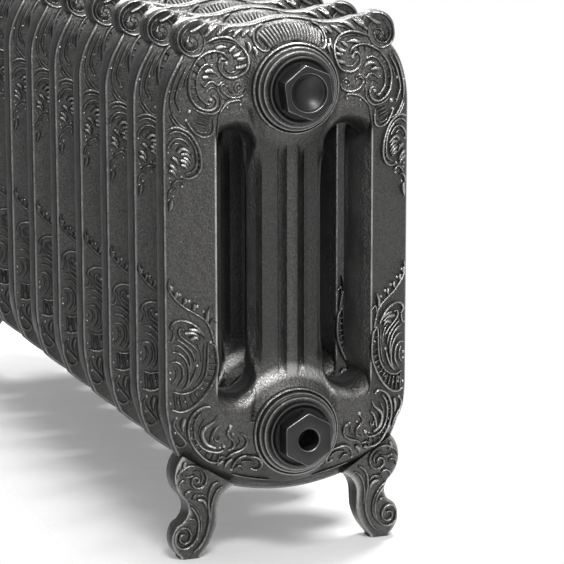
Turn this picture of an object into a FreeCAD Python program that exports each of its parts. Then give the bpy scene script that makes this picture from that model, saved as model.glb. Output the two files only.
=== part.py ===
"""Cast iron column radiator with rococo outline: a row of three-column sections on nipples.

Frame: X along the row, Y through the depth with the wall at +Y, Z up. The origin is on the floor
under the middle of the row. Every section is modelled about its own mid-plane and then placed.
"""
import FreeCAD, Part
import Sketcher
import math
import os
import re
from FreeCAD import Placement, Vector

# ---------------------------------------------------------------- driving sizes (mm, degrees)
SIZES = (
    # the row
    ("section_count", 10, "castings in the row, the first and the last on feet"),
    ("section_pitch", 80, "from one casting to the next"),
    ("depth", 225, "front to wall side of the casting"),
    ("lower_hub_height", 112, "floor to the axis of the lower hubs"),
    ("hub_spacing", 300, "lower to upper hub axis"),
    # outline of the casting
    ("side_bottom_rise", 33, "lower hub axis up to the start of the straight side"),
    ("side_top_drop", 20, "upper hub axis down to the end of the straight side"),
    ("crest_rise", 59.7, "upper hub axis to the hump in the middle of the crest"),
    ("ear_radius", 19, "volute at each end of the crest"),
    ("ear_inset", 28.5, "side of the casting to the volute's centre"),
    ("ear_drop", 18.2, "hump of the crest down to the volute's centre"),
    ("ear_thickness", 20, "volute disc, along the row"),
    ("crest_hump_half", 21, "half the width of the hump"),
    ("crest_hump_rise", 3, "hump above the points where the crest turns hollow"),
    ("crest_hollow_end", 62, "middle to the outer end of the hollow"),
    ("crest_hollow_depth", 3.2, "hollow below those points"),
    ("crest_rise_radius", 60, "rise from the hollow to the volute"),
    ("belly_drop", 57.5, "lower hub axis down to the underside of the casting"),
    ("belly_half", 50, "half the width of the flat arch of the underside"),
    ("belly_rise", 7, "ends of that arch above its middle"),
    ("bilge_inset", 12, "side to the point where the lower corner turns in"),
    ("bilge_drop", 19, "lower hub axis down to that point"),
    ("bilge_radius", 150, "lower part of the corner"),
    # thicknesses along the row
    ("edge_thickness", 20, "casting at its outer edge"),
    ("column_thickness", 56, "outer column at its inner wall"),
    ("column_width", 42, "outer column, edge to inner wall"),
    ("crest_thickness", 9.4, "casting at the crest, which slopes from the end of the straight side"),
    ("belly_thickness", 15, "casting at its underside"),
    ("belly_slope_drop", 12, "lower hub axis down to the start of the lower slope"),
    ("header_thickness", 33, "recessed header between the columns"),
    ("header_lap", 2, "header beyond the rounded slot ends, inside the frame"),
    # recess and slots
    ("recess_bottom_rise", 50, "lower hub axis up to the start of the recess's straight side"),
    ("recess_top_drop", 34, "upper hub axis down to its end"),
    ("recess_lower_radius", 40, "lower corner of the recess"),
    ("recess_upper_radius", 26, "upper corner of the recess"),
    ("slot_width", 36.5, "gap between outer and centre column"),
    ("slot_inset", 36, "hub axis to the near end of the slots, at the mid-plane"),
    ("saddle_reach", 13, "how far the rounded slot end runs over the header"),
    # centre column
    ("centre_edge_half", 27, "half the width of the centre column's face"),
    ("centre_edge_thickness", 30, "centre column at the edge of its face"),
    ("centre_wall_thickness", 16, "centre column where its round side begins"),
    ("centre_panel_thickness", 39, "centre column at the inner end of its panels"),
    ("centre_bead_width", 2.8, "thin ridge beside the groove"),
    ("centre_bead_height", 1.4, "thin ridge above the panel"),
    ("centre_groove_depth", 3.6, "groove below the middle rib"),
    ("centre_groove_half", 12.2, "middle to the outer side of the groove"),
    ("centre_rib_half", 5.3, "half the width of the middle rib"),
    ("centre_rib_thickness", 44, "centre column at the middle rib"),
    ("centre_rib_overlap", 14, "how far the centre column runs into each header"),
    # hubs
    ("hub_radius", 36, "boss of the hub"),
    ("hub_boss_thickness", 70, "boss, face to face"),
    ("hub_cone_radius", 49.5, "foot of the cone that carries the boss"),
    ("hub_cone_thickness", 60, "cone, where it meets the boss"),
    ("hub_rim_radius", 33.5, "machined rim of the hub"),
    ("hub_bore_radius", 20.2, "G1 1/4 threaded bore of the hub, at mid thread"),
    ("joint_gap", 1, "between two hub rims, filled by the joint gasket"),
    ("shell_radius", 54, "hub axis to the top of the shell above the hub"),
    ("shell_inner_radius", 41, "hub axis to the bottom of the shell"),
    ("shell_angle", 66, "sweep of the shell"),
    ("shell_thickness", 54, "casting at the bottom of the shell"),
    ("shell_top_thickness", 24, "casting at the top of the shell"),
    # waterways
    ("wall", 4, "thickness of the iron around the water"),
    ("header_water_reach", 25, "hub axis to the side of the waterway that faces the slots"),
    ("thread_length", 17, "threaded length of a hub bore"),
    # feet
    ("foot_thickness", 24, "foot, along the row"),
    ("foot_pad_inner", 80, "middle to the inner end of the pad"),
    ("foot_pad_outer", 99.2, "middle to the outer end of the pad"),
    ("foot_pad_height", 2.5, "upright edge of the pad"),
    ("foot_toe_end", 102.5, "middle to the upper end of the toe scroll"),
    ("foot_toe_top", 31, "floor to the upper end of the toe scroll"),
    ("foot_toe_radius", 19.5, "toe scroll"),
    ("foot_ankle_radius", 15.4, "hollow between toe and knee"),
    ("foot_knee_end", 98, "middle to the ends of the knee scroll"),
    ("foot_knee_bottom", 57, "floor to the lower end of the knee scroll"),
    ("foot_knee_radius", 27, "knee scroll"),
    ("foot_root_drop", 17.5, "lower hub axis down to the upper end of the knee, inside the casting"),
    ("foot_root_inner", 50, "middle to the inner end of the root"),
    ("foot_root_lap", 9.5, "inner end of the root above the underside of the casting"),
    ("foot_root_radius", 22, "hollow between root and shin"),
    ("foot_shin", 65.5, "middle to the inner side of the leg"),
    ("foot_shin_top", 43, "floor to the upper end of the straight shin"),
    ("foot_shin_bottom", 30, "floor to its lower end"),
    ("foot_heel_radius", 52, "inner side from shin to pad"),
    # nipples and gaskets
    ("nipple_length", 32, "threaded sleeve that joins two sections"),
    ("nipple_bore_radius", 15.5, "water passage of the nipple"),
    ("nipple_lug_height", 3, "inner lug that the joining bar grips"),
    ("nipple_lug_width", 6, "inner lug"),
    ("thread_clearance", 0.05, "between a thread and its bore, at mid thread"),
    ("gasket_clearance", 0.5, "between a gasket and the thread inside it"),
    ("joint_gasket_radius", 32, "outer radius of the joint gasket"),
    ("plug_gasket_radius", 28, "outer radius of the plug gasket"),
    ("plug_gasket_thickness", 1, "plug gasket"),
    # plugs and bushes
    ("plug_spigot_length", 15, "threaded end of a plug or bush"),
    ("plug_flange_radius", 29, "round flange of a plug or bush"),
    ("plug_flange_thickness", 5.5, "flange"),
    ("plug_hex_flats", 41.5, "hexagon, across flats"),
    ("plug_hex_height", 15, "hexagon above the flange"),
    ("plug_recess_radius", 15.2, "round recess in the blanking plug and the vent bush"),
    ("plug_recess_depth", 9, "round recess"),
    ("port_radius", 9.3, "G1/2 pipe port, at the crest of its thread"),
    ("port_chamfer", 1, "bevel at the port's mouth"),
    # air vent, sunk in the recess of its bush
    ("vent_thread_radius", 4.6, "G1/8 thread of the air vent, at mid thread"),
    ("vent_thread_length", 9, "vent thread"),
    ("vent_hex_flats", 17, "vent hexagon, across flats"),
    ("vent_hex_height", 8.5, "vent hexagon"),
    ("vent_key_radius", 5.5, "hollow around the square, for the key"),
    ("vent_key_depth", 5, "hollow for the key"),
    ("vent_screw_radius", 3.6, "bleed screw"),
    ("vent_screw_depth", 5, "length of the bleed screw in its hole"),
    ("vent_screw_clearance", 0.06, "between the bleed screw and its hole"),
    ("vent_square", 5, "square of the bleed screw, across flats"),
    ("vent_square_length", 4.5, "square, from the floor of the key hollow"),
    ("vent_water_radius", 1.2, "air passage through the vent"),
    ("vent_spout_radius", 1, "side outlet of the vent"),
)
ALIASES = {alias for alias, _, _ in SIZES}

# Places that several pieces share, as formulas over the sizes.
UPPER_HUB = "(lower_hub_height + hub_spacing)"
CREST = f"({UPPER_HUB} + crest_rise)"
EAR_HEIGHT = f"({CREST} - ear_drop)"
SIDE_TOP = f"({UPPER_HUB} - side_top_drop)"
SIDE_BOTTOM = "(lower_hub_height + side_bottom_rise)"
BILGE = "(lower_hub_height - bilge_drop)"
BELLY = "(lower_hub_height - belly_drop)"
RECESS_TOP = f"({UPPER_HUB} - recess_top_drop)"
RECESS_BOTTOM = "(lower_hub_height + recess_bottom_rise)"
SLOT_TOP = f"({UPPER_HUB} - slot_inset)"
SLOT_BOTTOM = "(lower_hub_height + slot_inset)"
SIDE = "(depth / 2)"
INNER_WALL = "(depth / 2 - column_width)"
SLOT_MIDDLE = f"({INNER_WALL} - slot_width / 2)"
EAR_MIDDLE = f"({SIDE} - ear_inset)"
HUB_FACE = "((section_pitch - joint_gap) / 2)"
END_FACE = "(section_pitch * section_count / 2 - joint_gap / 2)"
PLUG_TOP = "(plug_flange_thickness + plug_hex_height)"
KEY_FLOOR = "(vent_hex_height - vent_key_depth)"

# Which way an arc of an outline swells when the outline is followed anticlockwise.
OUT, IN = 1, -1


def make_sheet(doc):
    """The spreadsheet of driving sizes, one row for each."""
    sheet = doc.addObject("Spreadsheet::Sheet", "Sizes")
    for row, (alias, size, meaning) in enumerate(SIZES, start=1):
        sheet.set(f"A{row}", alias)
        sheet.set(f"B{row}", str(size))
        sheet.set(f"C{row}", meaning)
        sheet.setAlias(f"B{row}", alias)
    doc.recompute()
    return sheet


def bound(formula):
    """A formula over size names, as an expression that reads the sheet."""
    return re.sub(r"[a-z_]+", lambda word: "Sizes." + word[0] if word[0] in ALIASES else word[0],
                  str(formula))


def number(doc, formula):
    """The value that a formula has now."""
    return float(doc.Sizes.evalExpression(bound(formula)))


# ---------------------------------------------------------------- sketches
def new_sketch(body, name, role, offset=None):
    """A sketch on an origin plane of the body, moved along the plane's normal by a formula."""
    sketch = body.newObject("Sketcher::SketchObject", name)
    plane = next(item for item in body.Origin.OriginFeatures if item.Role == role)
    sketch.AttachmentSupport = [(plane, "")]
    sketch.MapMode = "FlatFace"
    if offset is not None:
        sketch.setExpression(".AttachmentOffset.Base.z", bound(offset))
    return sketch


def fix_point(sketch, item, point, x, y):
    """Hold a point of a sketch at x, y, both given as formulas."""
    for kind, formula in (("DistanceX", x), ("DistanceY", y)):
        index = sketch.addConstraint(
            Sketcher.Constraint(kind, -1, 1, item, point, number(sketch.Document, formula)))
        sketch.setExpression(f"Constraints[{index}]", bound(formula))


def fix_radius(sketch, item, radius):
    index = sketch.addConstraint(Sketcher.Constraint("Radius", item, number(sketch.Document, radius)))
    sketch.setExpression(f"Constraints[{index}]", bound(radius))


def add_circle(sketch, x, y, radius):
    doc = sketch.Document
    centre = Vector(number(doc, x), number(doc, y), 0)
    item = sketch.addGeometry(Part.Circle(centre, Vector(0, 0, 1), number(doc, radius)))
    fix_point(sketch, item, 3, x, y)
    fix_radius(sketch, item, radius)


def arc_between(start, end, radius, swell):
    """The arc of a radius from start to end that swells OUT of or IN to an anticlockwise outline."""
    chord = end - start
    rise = math.sqrt(max(0, radius ** 2 - (chord.Length / 2) ** 2))
    inward = Vector(-chord.y, chord.x, 0).normalize()
    centre = (start + end) / 2 + inward * rise * swell
    first, last = (start, end) if swell == OUT else (end, start)
    angles = [math.atan2(point.y - centre.y, point.x - centre.x) for point in (first, last)]
    return Part.ArcOfCircle(Part.Circle(centre, Vector(0, 0, 1), radius), *angles)


def add_outline(sketch, corners):
    """Draw a closed outline, anticlockwise. A corner is (x, y), or (x, y, radius, swell) where an
    arc leads from it to the next corner."""
    doc = sketch.Document
    points = [Vector(number(doc, x), number(doc, y), 0) for x, y, *_ in corners]
    ends = []
    for index, (x, y, *arc) in enumerate(corners):
        start, end = points[index], points[(index + 1) % len(points)]
        if arc:
            radius, swell = arc
            item = sketch.addGeometry(arc_between(start, end, number(doc, radius), swell))
            ends.append((item, 1, 2) if swell == OUT else (item, 2, 1))
        else:
            item = sketch.addGeometry(Part.LineSegment(start, end))
            ends.append((item, 1, 2))
    for index, (item, _, last) in enumerate(ends):
        following, first, _ = ends[(index + 1) % len(ends)]
        sketch.addConstraint(Sketcher.Constraint("Coincident", item, last, following, first))
    for (item, first, _), (x, y, *arc) in zip(ends, corners):
        fix_point(sketch, item, first, x, y)
        if arc:
            fix_radius(sketch, item, arc[0])


def add_rectangle(sketch, half_width, bottom, top):
    """Draw a rectangle centred on the sketch's upright axis."""
    add_outline(sketch, [(f"-{half_width}", bottom), (half_width, bottom),
                         (half_width, top), (f"-{half_width}", top)])


def arch_radius(half_width, rise):
    """Radius of an arch from half its width and its rise."""
    return f"(({half_width}) ^ 2 + ({rise}) ^ 2) / 2 / ({rise})"


def mirrored(half):
    """Complete an outline from its right half, whose first and last corners are on the middle line.
    An arc that leaves a corner of the right half arrives at its twin on the left."""
    left = []
    for index in range(len(half) - 1, 0, -1):
        x, y = half[index][:2]
        arc = half[index - 1][2:]
        left.append((f"-({x})", y, *arc))
    return half[:-1] + left


# ---------------------------------------------------------------- features
def pad(body, sketch, length, centred=True, backwards=False):
    feature = body.newObject("PartDesign::Pad", sketch.Name + "_pad")
    feature.Profile = sketch
    feature.SideType = "Symmetric" if centred else "One side"
    feature.Reversed = backwards
    feature.setExpression("Length", bound(length))
    return feature


def round_edges(body, kind, size, wanted):
    """Fillet or chamfer the edges of the body's last feature for which wanted(edge) holds."""
    body.Document.recompute()
    base = body.Tip
    names = [f"Edge{index}" for index, edge in enumerate(base.Shape.Edges, start=1) if wanted(edge)]
    feature = body.newObject(f"PartDesign::{kind}", f"{base.Name}_{kind.lower()}")
    feature.Base = (base, names)
    feature.setExpression("Radius" if kind == "Fillet" else "Size", bound(size))
    return feature


def pocket(body, sketch, length=None, centred=True, backwards=False):
    """Cut a sketch through everything, or to a length."""
    feature = body.newObject("PartDesign::Pocket", sketch.Name + "_cut")
    feature.Profile = sketch
    feature.SideType = "Symmetric" if centred else "One side"
    feature.Reversed = backwards
    if length is None:
        feature.Type = "ThroughAll"
    else:
        feature.setExpression("Length", bound(length))
    return feature


def turn(body, sketch, angle=360):
    """Revolve a sketch about its own horizontal axis, evenly to both sides of its plane."""
    feature = body.newObject("PartDesign::Revolution", sketch.Name + "_turned")
    feature.Profile = sketch
    feature.ReferenceAxis = (sketch, ["H_Axis"])
    feature.Midplane = True
    feature.setExpression("Angle", bound(angle))
    return feature


def hexagon(flats):
    """Corners of a hexagon with two upright sides, around the sketch's origin."""
    corner = f"({flats}) / 2 / cos(30)"
    return [(f"{corner} * cos({angle})", f"{corner} * sin({angle})") for angle in range(30, 390, 60)]


# ---------------------------------------------------------------- the section casting
def casting_outline():
    """Front outline of the casting, anticlockwise from the middle of the underside."""
    neck_inset = "(ear_inset - ear_radius * cos(45))"
    neck_height = f"({EAR_HEIGHT} - ear_radius * sin(45))"
    ear_top = (f"{EAR_MIDDLE} - ear_radius * sin(10)", f"{EAR_HEIGHT} + ear_radius * cos(10)")
    crest_turn = f"{CREST} - crest_hump_rise"
    return mirrored([
        ("0", BELLY, arch_radius("belly_half", "belly_rise"), OUT),
        ("belly_half", f"{BELLY} + belly_rise", "bilge_radius", OUT),
        (f"{SIDE} - bilge_inset", BILGE,
         arch_radius(f"{SIDE_BOTTOM} - {BILGE}", "bilge_inset"), OUT),
        (SIDE, SIDE_BOTTOM),
        (SIDE, SIDE_TOP, arch_radius(f"{neck_height} - {SIDE_TOP}", neck_inset), OUT),
        (f"{SIDE} - {neck_inset}", neck_height, "ear_radius", OUT),
        (*ear_top, "crest_rise_radius", OUT),
        ("crest_hollow_end", crest_turn,
         arch_radius("(crest_hollow_end - crest_hump_half) / 2", "crest_hollow_depth"), IN),
        ("crest_hump_half", crest_turn, arch_radius("crest_hump_half", "crest_hump_rise"), OUT),
        ("0", CREST),
    ])


def recess_outline(margin="0"):
    """Outline of the recess between the outer columns, grown by a margin."""
    side = f"{INNER_WALL} + {margin}"
    lower, upper = f"(recess_lower_radius + {margin})", f"(recess_upper_radius + {margin})"
    inset = f"{lower} * (1 - cos(45))"
    drop = f"{lower} * sin(45)"
    flat = "(lower_hub_height - hub_radius / 3)"
    diagonal = f"{RECESS_BOTTOM} - {drop} - {flat} + {margin}"
    return mirrored([
        ("0", f"{flat} - {margin}"),
        (f"{side} - {inset} - ({diagonal})", f"{flat} - {margin}"),
        (f"{side} - {inset}", f"{RECESS_BOTTOM} - {drop}", lower, OUT),
        (side, RECESS_BOTTOM),
        (side, RECESS_TOP, upper, OUT),
        (f"{side} - {upper}", f"{RECESS_TOP} + {upper}"),
        ("0", f"{RECESS_TOP} + {upper}"),
    ])


def make_section(doc, label, on_feet):
    """One casting about its own mid-plane, with its waterways."""
    body = doc.addObject("PartDesign::Body", label)
    add_header(body)
    add_slots(body)
    add_centre_column(body)
    add_frame(body)
    slope_frame(body)
    add_crest(body)
    if on_feet:
        add_feet(body)
    add_hubs(body)
    cut_waterways(body)
    return body


def add_header(body):
    """The recessed plate that joins the columns above and below."""
    sketch = new_sketch(body, "header", "YZ_Plane")
    add_outline(sketch, recess_outline("(saddle_reach + header_lap)"))
    pad(body, sketch, "header_thickness")


def add_slots(body):
    """The two gaps between the columns. Their ends flare out over the header as saddles."""
    sketch = new_sketch(body, "slots", "YZ_Plane")
    radius = "(slot_width / 2)"
    for middle in (SLOT_MIDDLE, f"-{SLOT_MIDDLE}"):
        add_outline(sketch, [
            (f"{middle} - {radius}", f"{SLOT_BOTTOM} + {radius}", radius, OUT),
            (middle, SLOT_BOTTOM, radius, OUT),
            (f"{middle} + {radius}", f"{SLOT_BOTTOM} + {radius}"),
            (f"{middle} + {radius}", f"{SLOT_TOP} - {radius}", radius, OUT),
            (middle, SLOT_TOP, radius, OUT),
            (f"{middle} - {radius}", f"{SLOT_TOP} - {radius}"),
        ])
    pocket(body, sketch)
    doc = body.Document
    face = number(doc, "header_thickness / 2")
    bend = number(doc, radius)
    round_edges(body, "Chamfer", "saddle_reach", lambda edge: (
        isinstance(edge.Curve, Part.Circle)
        and abs(edge.Curve.Radius - bend) < 1e-3
        and abs(abs(edge.CenterOfMass.x) - face) < 1e-3))


def add_centre_column(body):
    """The middle column: round sides, panels, and a rib between two grooves on either face."""
    sketch = new_sketch(body, "centre_column", "XY_Plane", f"{SLOT_BOTTOM} - centre_rib_overlap")
    edge = f"({INNER_WALL} - slot_width)"
    groove = "(centre_rib_thickness / 2 - centre_groove_depth)"
    bead = "(centre_panel_thickness / 2 + centre_bead_height)"
    bead_outer = "(centre_groove_half + centre_bead_width)"
    face = [
        ("centre_edge_thickness / 2", "centre_edge_half"),
        ("centre_panel_thickness / 2", bead_outer),
        (bead, "centre_groove_half"),
        (groove, "centre_groove_half"),
        (groove, "centre_rib_half"),
        ("centre_rib_thickness / 2", "centre_rib_half"),
    ]
    side = [("-centre_wall_thickness / 2", edge), ("centre_wall_thickness / 2", edge)]
    front = [(x, f"-{y}") for x, y in face] + face[::-1]
    back = [(f"-{x}", y) for x, y in face] + [(f"-{x}", f"-{y}") for x, y in face[::-1]]
    add_outline(sketch, [(x, f"-{y}") for x, y in side] + front + side[::-1] + back)
    pad(body, sketch, f"{SLOT_TOP} - {SLOT_BOTTOM} + 2 * centre_rib_overlap", centred=False)


def add_frame(body):
    """The rim of the casting around the recess, at its full thickness."""
    sketch = new_sketch(body, "frame", "YZ_Plane")
    add_outline(sketch, casting_outline())
    add_outline(sketch, recess_outline())
    pad(body, sketch, "column_thickness")


def slope_frame(body):
    """Slope both faces: from the inner wall to the side, up to the crest and down to the underside."""
    sides = new_sketch(body, "side_slopes", "XY_Plane")
    ends = new_sketch(body, "end_slopes", "XZ_Plane")
    thick, beyond = "column_thickness / 2", "ear_radius"
    for sign in ("", "-"):
        for wing in ("", "-"):
            add_outline(sides, wedge(thick, f"{wing}{INNER_WALL}", "edge_thickness / 2",
                                     f"{wing}{SIDE}", f"{wing}({SIDE} + {beyond})", sign))
        add_outline(ends, wedge(thick, SIDE_TOP, "crest_thickness / 2",
                                CREST, f"{CREST} + {beyond}", sign))
        add_outline(ends, wedge(thick, "lower_hub_height - belly_slope_drop", "belly_thickness / 2",
                                BELLY, f"{BELLY} - {beyond}", sign))
    pocket(body, sides)
    pocket(body, ends)


def wedge(thick, start, thin, end, beyond, sign):
    """Corners of the waste outside a slope that runs from thick at start to thin at end."""
    clear = f"{sign}({thick} + {thin})"
    return [(f"{sign}{thick}", start), (clear, start), (clear, beyond),
            (f"{sign}{thin}", beyond), (f"{sign}{thin}", end)]


def add_crest(body):
    """The volute discs at both ends of the crest, and the shell that swells above the upper hub."""
    ears = new_sketch(body, "ears", "YZ_Plane")
    add_circle(ears, EAR_MIDDLE, EAR_HEIGHT, "ear_radius")
    add_circle(ears, f"-{EAR_MIDDLE}", EAR_HEIGHT, "ear_radius")
    pad(body, ears, "ear_thickness")
    shell = new_sketch(body, "shell", "XZ_Plane")
    shell.setExpression(".AttachmentOffset.Base.y", bound(UPPER_HUB))
    add_outline(shell, [
        ("-shell_thickness / 2", "hub_bore_radius"),
        ("shell_thickness / 2", "hub_bore_radius"),
        ("shell_thickness / 2", "shell_inner_radius"),
        ("shell_top_thickness / 2", "shell_radius"),
        ("-shell_top_thickness / 2", "shell_radius"),
        ("-shell_thickness / 2", "shell_inner_radius"),
    ])
    turn(body, shell, "shell_angle")


def add_hubs(body):
    """Both hubs: a cone that grows out of the header, the boss and its machined rim."""
    for name, height in (("lower_hub", "lower_hub_height"), ("upper_hub", UPPER_HUB)):
        hub = new_sketch(body, name, "XZ_Plane")
        hub.setExpression(".AttachmentOffset.Base.y", bound(height))
        half = [
            (HUB_FACE, "0"),
            (HUB_FACE, "hub_rim_radius"),
            ("hub_boss_thickness / 2", "hub_rim_radius"),
            ("hub_boss_thickness / 2", "hub_radius"),
            ("hub_cone_thickness / 2", "hub_radius"),
            ("header_thickness / 2", "hub_cone_radius"),
        ]
        add_outline(hub, half + [(f"-{x}", radius) for x, radius in reversed(half)])
        turn(body, hub)


def add_feet(body):
    """Two scrolled feet: knee, ankle and toe curl, on a flat pad."""
    sketch = new_sketch(body, "feet", "YZ_Plane")
    right = [
        ("foot_pad_inner", "0"),
        ("foot_pad_outer", "0"),
        ("foot_pad_outer", "foot_pad_height", "foot_toe_radius", OUT),
        ("foot_toe_end", "foot_toe_top", "foot_ankle_radius", IN),
        ("foot_knee_end", "foot_knee_bottom", "foot_knee_radius", OUT),
        ("foot_knee_end", "lower_hub_height - foot_root_drop"),
        ("foot_root_inner", f"{BELLY} + foot_root_lap", "foot_root_radius", IN),
        ("foot_shin", "foot_shin_top"),
        ("foot_shin", "foot_shin_bottom", "foot_heel_radius", OUT),
        ("foot_pad_inner", "foot_pad_height"),
    ]
    add_outline(sketch, right)
    add_outline(sketch, [(f"-({x})", y, *arc) for x, y, *arc in twin_order(right)])
    pad(body, sketch, "foot_thickness")


def twin_order(corners):
    """The corners of an outline in the order that keeps its mirror image anticlockwise."""
    count = len(corners)
    return [(*corners[index][:2], *corners[index - 1][2:]) for index in range(count - 1, -1, -1)]


def cut_waterways(body):
    """Hub bores, the chambers behind them, both headers and the three columns. The headers stay
    clear of the slopes at the crest and the underside, and the columns end where those begin."""
    bores = new_sketch(body, "hub_bores", "YZ_Plane")
    for height in ("lower_hub_height", UPPER_HUB):
        add_circle(bores, "0", height, "hub_bore_radius")
    pocket(body, bores)
    chambers = new_sketch(body, "hub_chambers", "XZ_Plane")
    behind_thread = f"({HUB_FACE} - thread_length)"
    for height in ("lower_hub_height", UPPER_HUB):
        add_rectangle(chambers, behind_thread, f"{height} - header_water_reach",
                      f"{height} + header_water_reach")
    pocket(body, chambers, "2 * header_water_reach")
    headers = new_sketch(body, "header_water", "XZ_Plane")
    inside = "(header_thickness / 2 - wall)"
    add_rectangle(headers, inside, "lower_hub_height - hub_radius + wall",
                  "lower_hub_height + header_water_reach")
    add_rectangle(headers, inside, f"{UPPER_HUB} - header_water_reach",
                  f"{UPPER_HUB} + hub_radius / 2")
    pocket(body, headers, f"2 * ({INNER_WALL} + 2 * wall)")
    columns = new_sketch(body, "column_water", "XY_Plane", "lower_hub_height")
    outer = f"({SIDE} - 3 * wall / 2)"
    inner = f"({INNER_WALL} + wall)"
    edge_half = "(edge_thickness / 2 - wall / 2)"
    wall_half = "(column_thickness / 2 - 3 * wall / 2)"
    for sign in ("", "-"):
        add_outline(columns, [
            (f"-{edge_half}", f"{sign}{outer}"),
            (f"-{wall_half}", f"{sign}{inner}"),
            (wall_half, f"{sign}{inner}"),
            (edge_half, f"{sign}{outer}"),
        ])
    add_rectangle(columns, "(centre_edge_thickness / 2 - wall)", "-centre_edge_half + wall / 2",
                  "centre_edge_half - wall / 2")
    pocket(body, columns, f"{SIDE_TOP} - lower_hub_height", centred=False, backwards=True)


# ---------------------------------------------------------------- nipples, gaskets, plugs, vent
def make_nipple(doc, label):
    """Threaded sleeve with two inner lugs for the joining bar, about the joint's plane."""
    body = doc.addObject("PartDesign::Body", label)
    sleeve = new_sketch(body, "sleeve", "YZ_Plane")
    add_circle(sleeve, "0", "0", "hub_bore_radius - thread_clearance")
    add_circle(sleeve, "0", "0", "nipple_bore_radius")
    pad(body, sleeve, "nipple_length")
    lugs = new_sketch(body, "lugs", "YZ_Plane")
    root = "(nipple_bore_radius + nipple_lug_height / 2)"
    tip = "(nipple_bore_radius - nipple_lug_height)"
    half = "nipple_lug_width / 2"
    for sign in ("", "-"):
        add_outline(lugs, [
            (f"-{half}", f"{sign}{tip}"), (half, f"{sign}{tip}"),
            (half, f"{sign}{root}"), (f"-{half}", f"{sign}{root}"),
        ])
    pad(body, lugs, "nipple_length / 2")
    return body


def make_gasket(doc, label, radius, thickness):
    """Flat ring around a thread, with its inner face on the origin plane."""
    body = doc.addObject("PartDesign::Body", label)
    ring = new_sketch(body, "ring", "YZ_Plane")
    add_circle(ring, "0", "0", radius)
    add_circle(ring, "0", "0", "hub_bore_radius + gasket_clearance")
    pad(body, ring, thickness, centred=False)
    return body


def make_plug(doc, label):
    """Threaded spigot, round flange and hexagon. The flange seats on the origin plane."""
    body = doc.addObject("PartDesign::Body", label)
    spigot = new_sketch(body, "spigot", "YZ_Plane")
    add_circle(spigot, "0", "0", "hub_bore_radius - thread_clearance")
    pad(body, spigot, "plug_spigot_length + plug_gasket_thickness", centred=False, backwards=True)
    flange = new_sketch(body, "flange", "YZ_Plane")
    add_circle(flange, "0", "0", "plug_flange_radius")
    pad(body, flange, "plug_flange_thickness", centred=False)
    hexagonal = new_sketch(body, "hexagon", "YZ_Plane", "plug_flange_thickness")
    add_outline(hexagonal, hexagon("plug_hex_flats"))
    pad(body, hexagonal, "plug_hex_height", centred=False)
    return body


def make_blanking_plug(doc, label):
    """Plug whose hexagon has a blind round recess."""
    body = make_plug(doc, label)
    recess = new_sketch(body, "recess", "YZ_Plane", PLUG_TOP)
    add_circle(recess, "0", "0", "plug_recess_radius")
    pocket(body, recess, "plug_recess_depth", centred=False)
    return body


def make_vent_bush(doc, label):
    """Plug whose recess is bored on for the thread of the air vent."""
    body = make_blanking_plug(doc, label)
    bore = new_sketch(body, "bore", "YZ_Plane")
    add_circle(bore, "0", "0", "vent_thread_radius")
    pocket(body, bore)
    return body


def make_connection_bush(doc, label):
    """Plug bored through as a pipe port, with a bevelled mouth."""
    body = make_plug(doc, label)
    bore = new_sketch(body, "bore", "YZ_Plane")
    add_circle(bore, "0", "0", "port_radius")
    pocket(body, bore)
    mouth = number(doc, PLUG_TOP)
    size = number(doc, "port_radius")
    round_edges(body, "Chamfer", "port_chamfer", lambda edge: (
        isinstance(edge.Curve, Part.Circle)
        and abs(edge.Curve.Radius - size) < 1e-3
        and abs(edge.CenterOfMass.x - mouth) < 1e-3))
    return body


def make_vent_body(doc, label):
    """Air vent: thread and hexagon, hollowed for the key and bored for the bleed screw, with a side
    spout. The hexagon seats on the origin plane."""
    body = doc.addObject("PartDesign::Body", label)
    thread = new_sketch(body, "thread", "YZ_Plane")
    add_circle(thread, "0", "0", "vent_thread_radius - thread_clearance")
    pad(body, thread, "vent_thread_length", centred=False, backwards=True)
    hexagonal = new_sketch(body, "hexagon", "YZ_Plane")
    add_outline(hexagonal, hexagon("vent_hex_flats"))
    pad(body, hexagonal, "vent_hex_height", centred=False)
    hollow = new_sketch(body, "key_hollow", "YZ_Plane", "vent_hex_height")
    add_circle(hollow, "0", "0", "vent_key_radius")
    pocket(body, hollow, "vent_key_depth", centred=False)
    hole = new_sketch(body, "screw_hole", "YZ_Plane", KEY_FLOOR)
    add_circle(hole, "0", "0", "vent_screw_radius + vent_screw_clearance")
    pocket(body, hole, "vent_screw_depth + vent_screw_clearance", centred=False)
    passage = new_sketch(body, "air_passage", "YZ_Plane")
    add_circle(passage, "0", "0", "vent_water_radius")
    pocket(body, passage)
    spout = new_sketch(body, "spout", "XY_Plane")
    add_circle(spout, f"{KEY_FLOOR} / 2", "0", "vent_spout_radius")
    pocket(body, spout, "vent_hex_flats", centred=False)
    return body


def make_vent_screw(doc, label):
    """Bleed screw with a square for the key. The square starts on the origin plane."""
    body = doc.addObject("PartDesign::Body", label)
    shank = new_sketch(body, "shank", "YZ_Plane")
    add_circle(shank, "0", "0", "vent_screw_radius")
    pad(body, shank, "vent_screw_depth", centred=False, backwards=True)
    square = new_sketch(body, "square", "YZ_Plane")
    half = "vent_square / 2"
    corner = f"min({half}; vent_screw_radius * cos(45))"
    add_outline(square, [(f"-{corner}", f"-{corner}"), (corner, f"-{corner}"),
                         (corner, corner), (f"-{corner}", corner)])
    pad(body, square, "vent_square_length", centred=False)
    return body


# ---------------------------------------------------------------- assembly
def place(item, x, height="0", turned=False):
    """Put a piece on the row's centre line; turned faces it to -X."""
    if turned:
        item.Placement = Placement(Vector(), FreeCAD.Rotation(Vector(0, 0, 1), 180))
    item.setExpression(".Placement.Base.x", bound(x))
    item.setExpression(".Placement.Base.z", bound(height))
    return item


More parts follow.
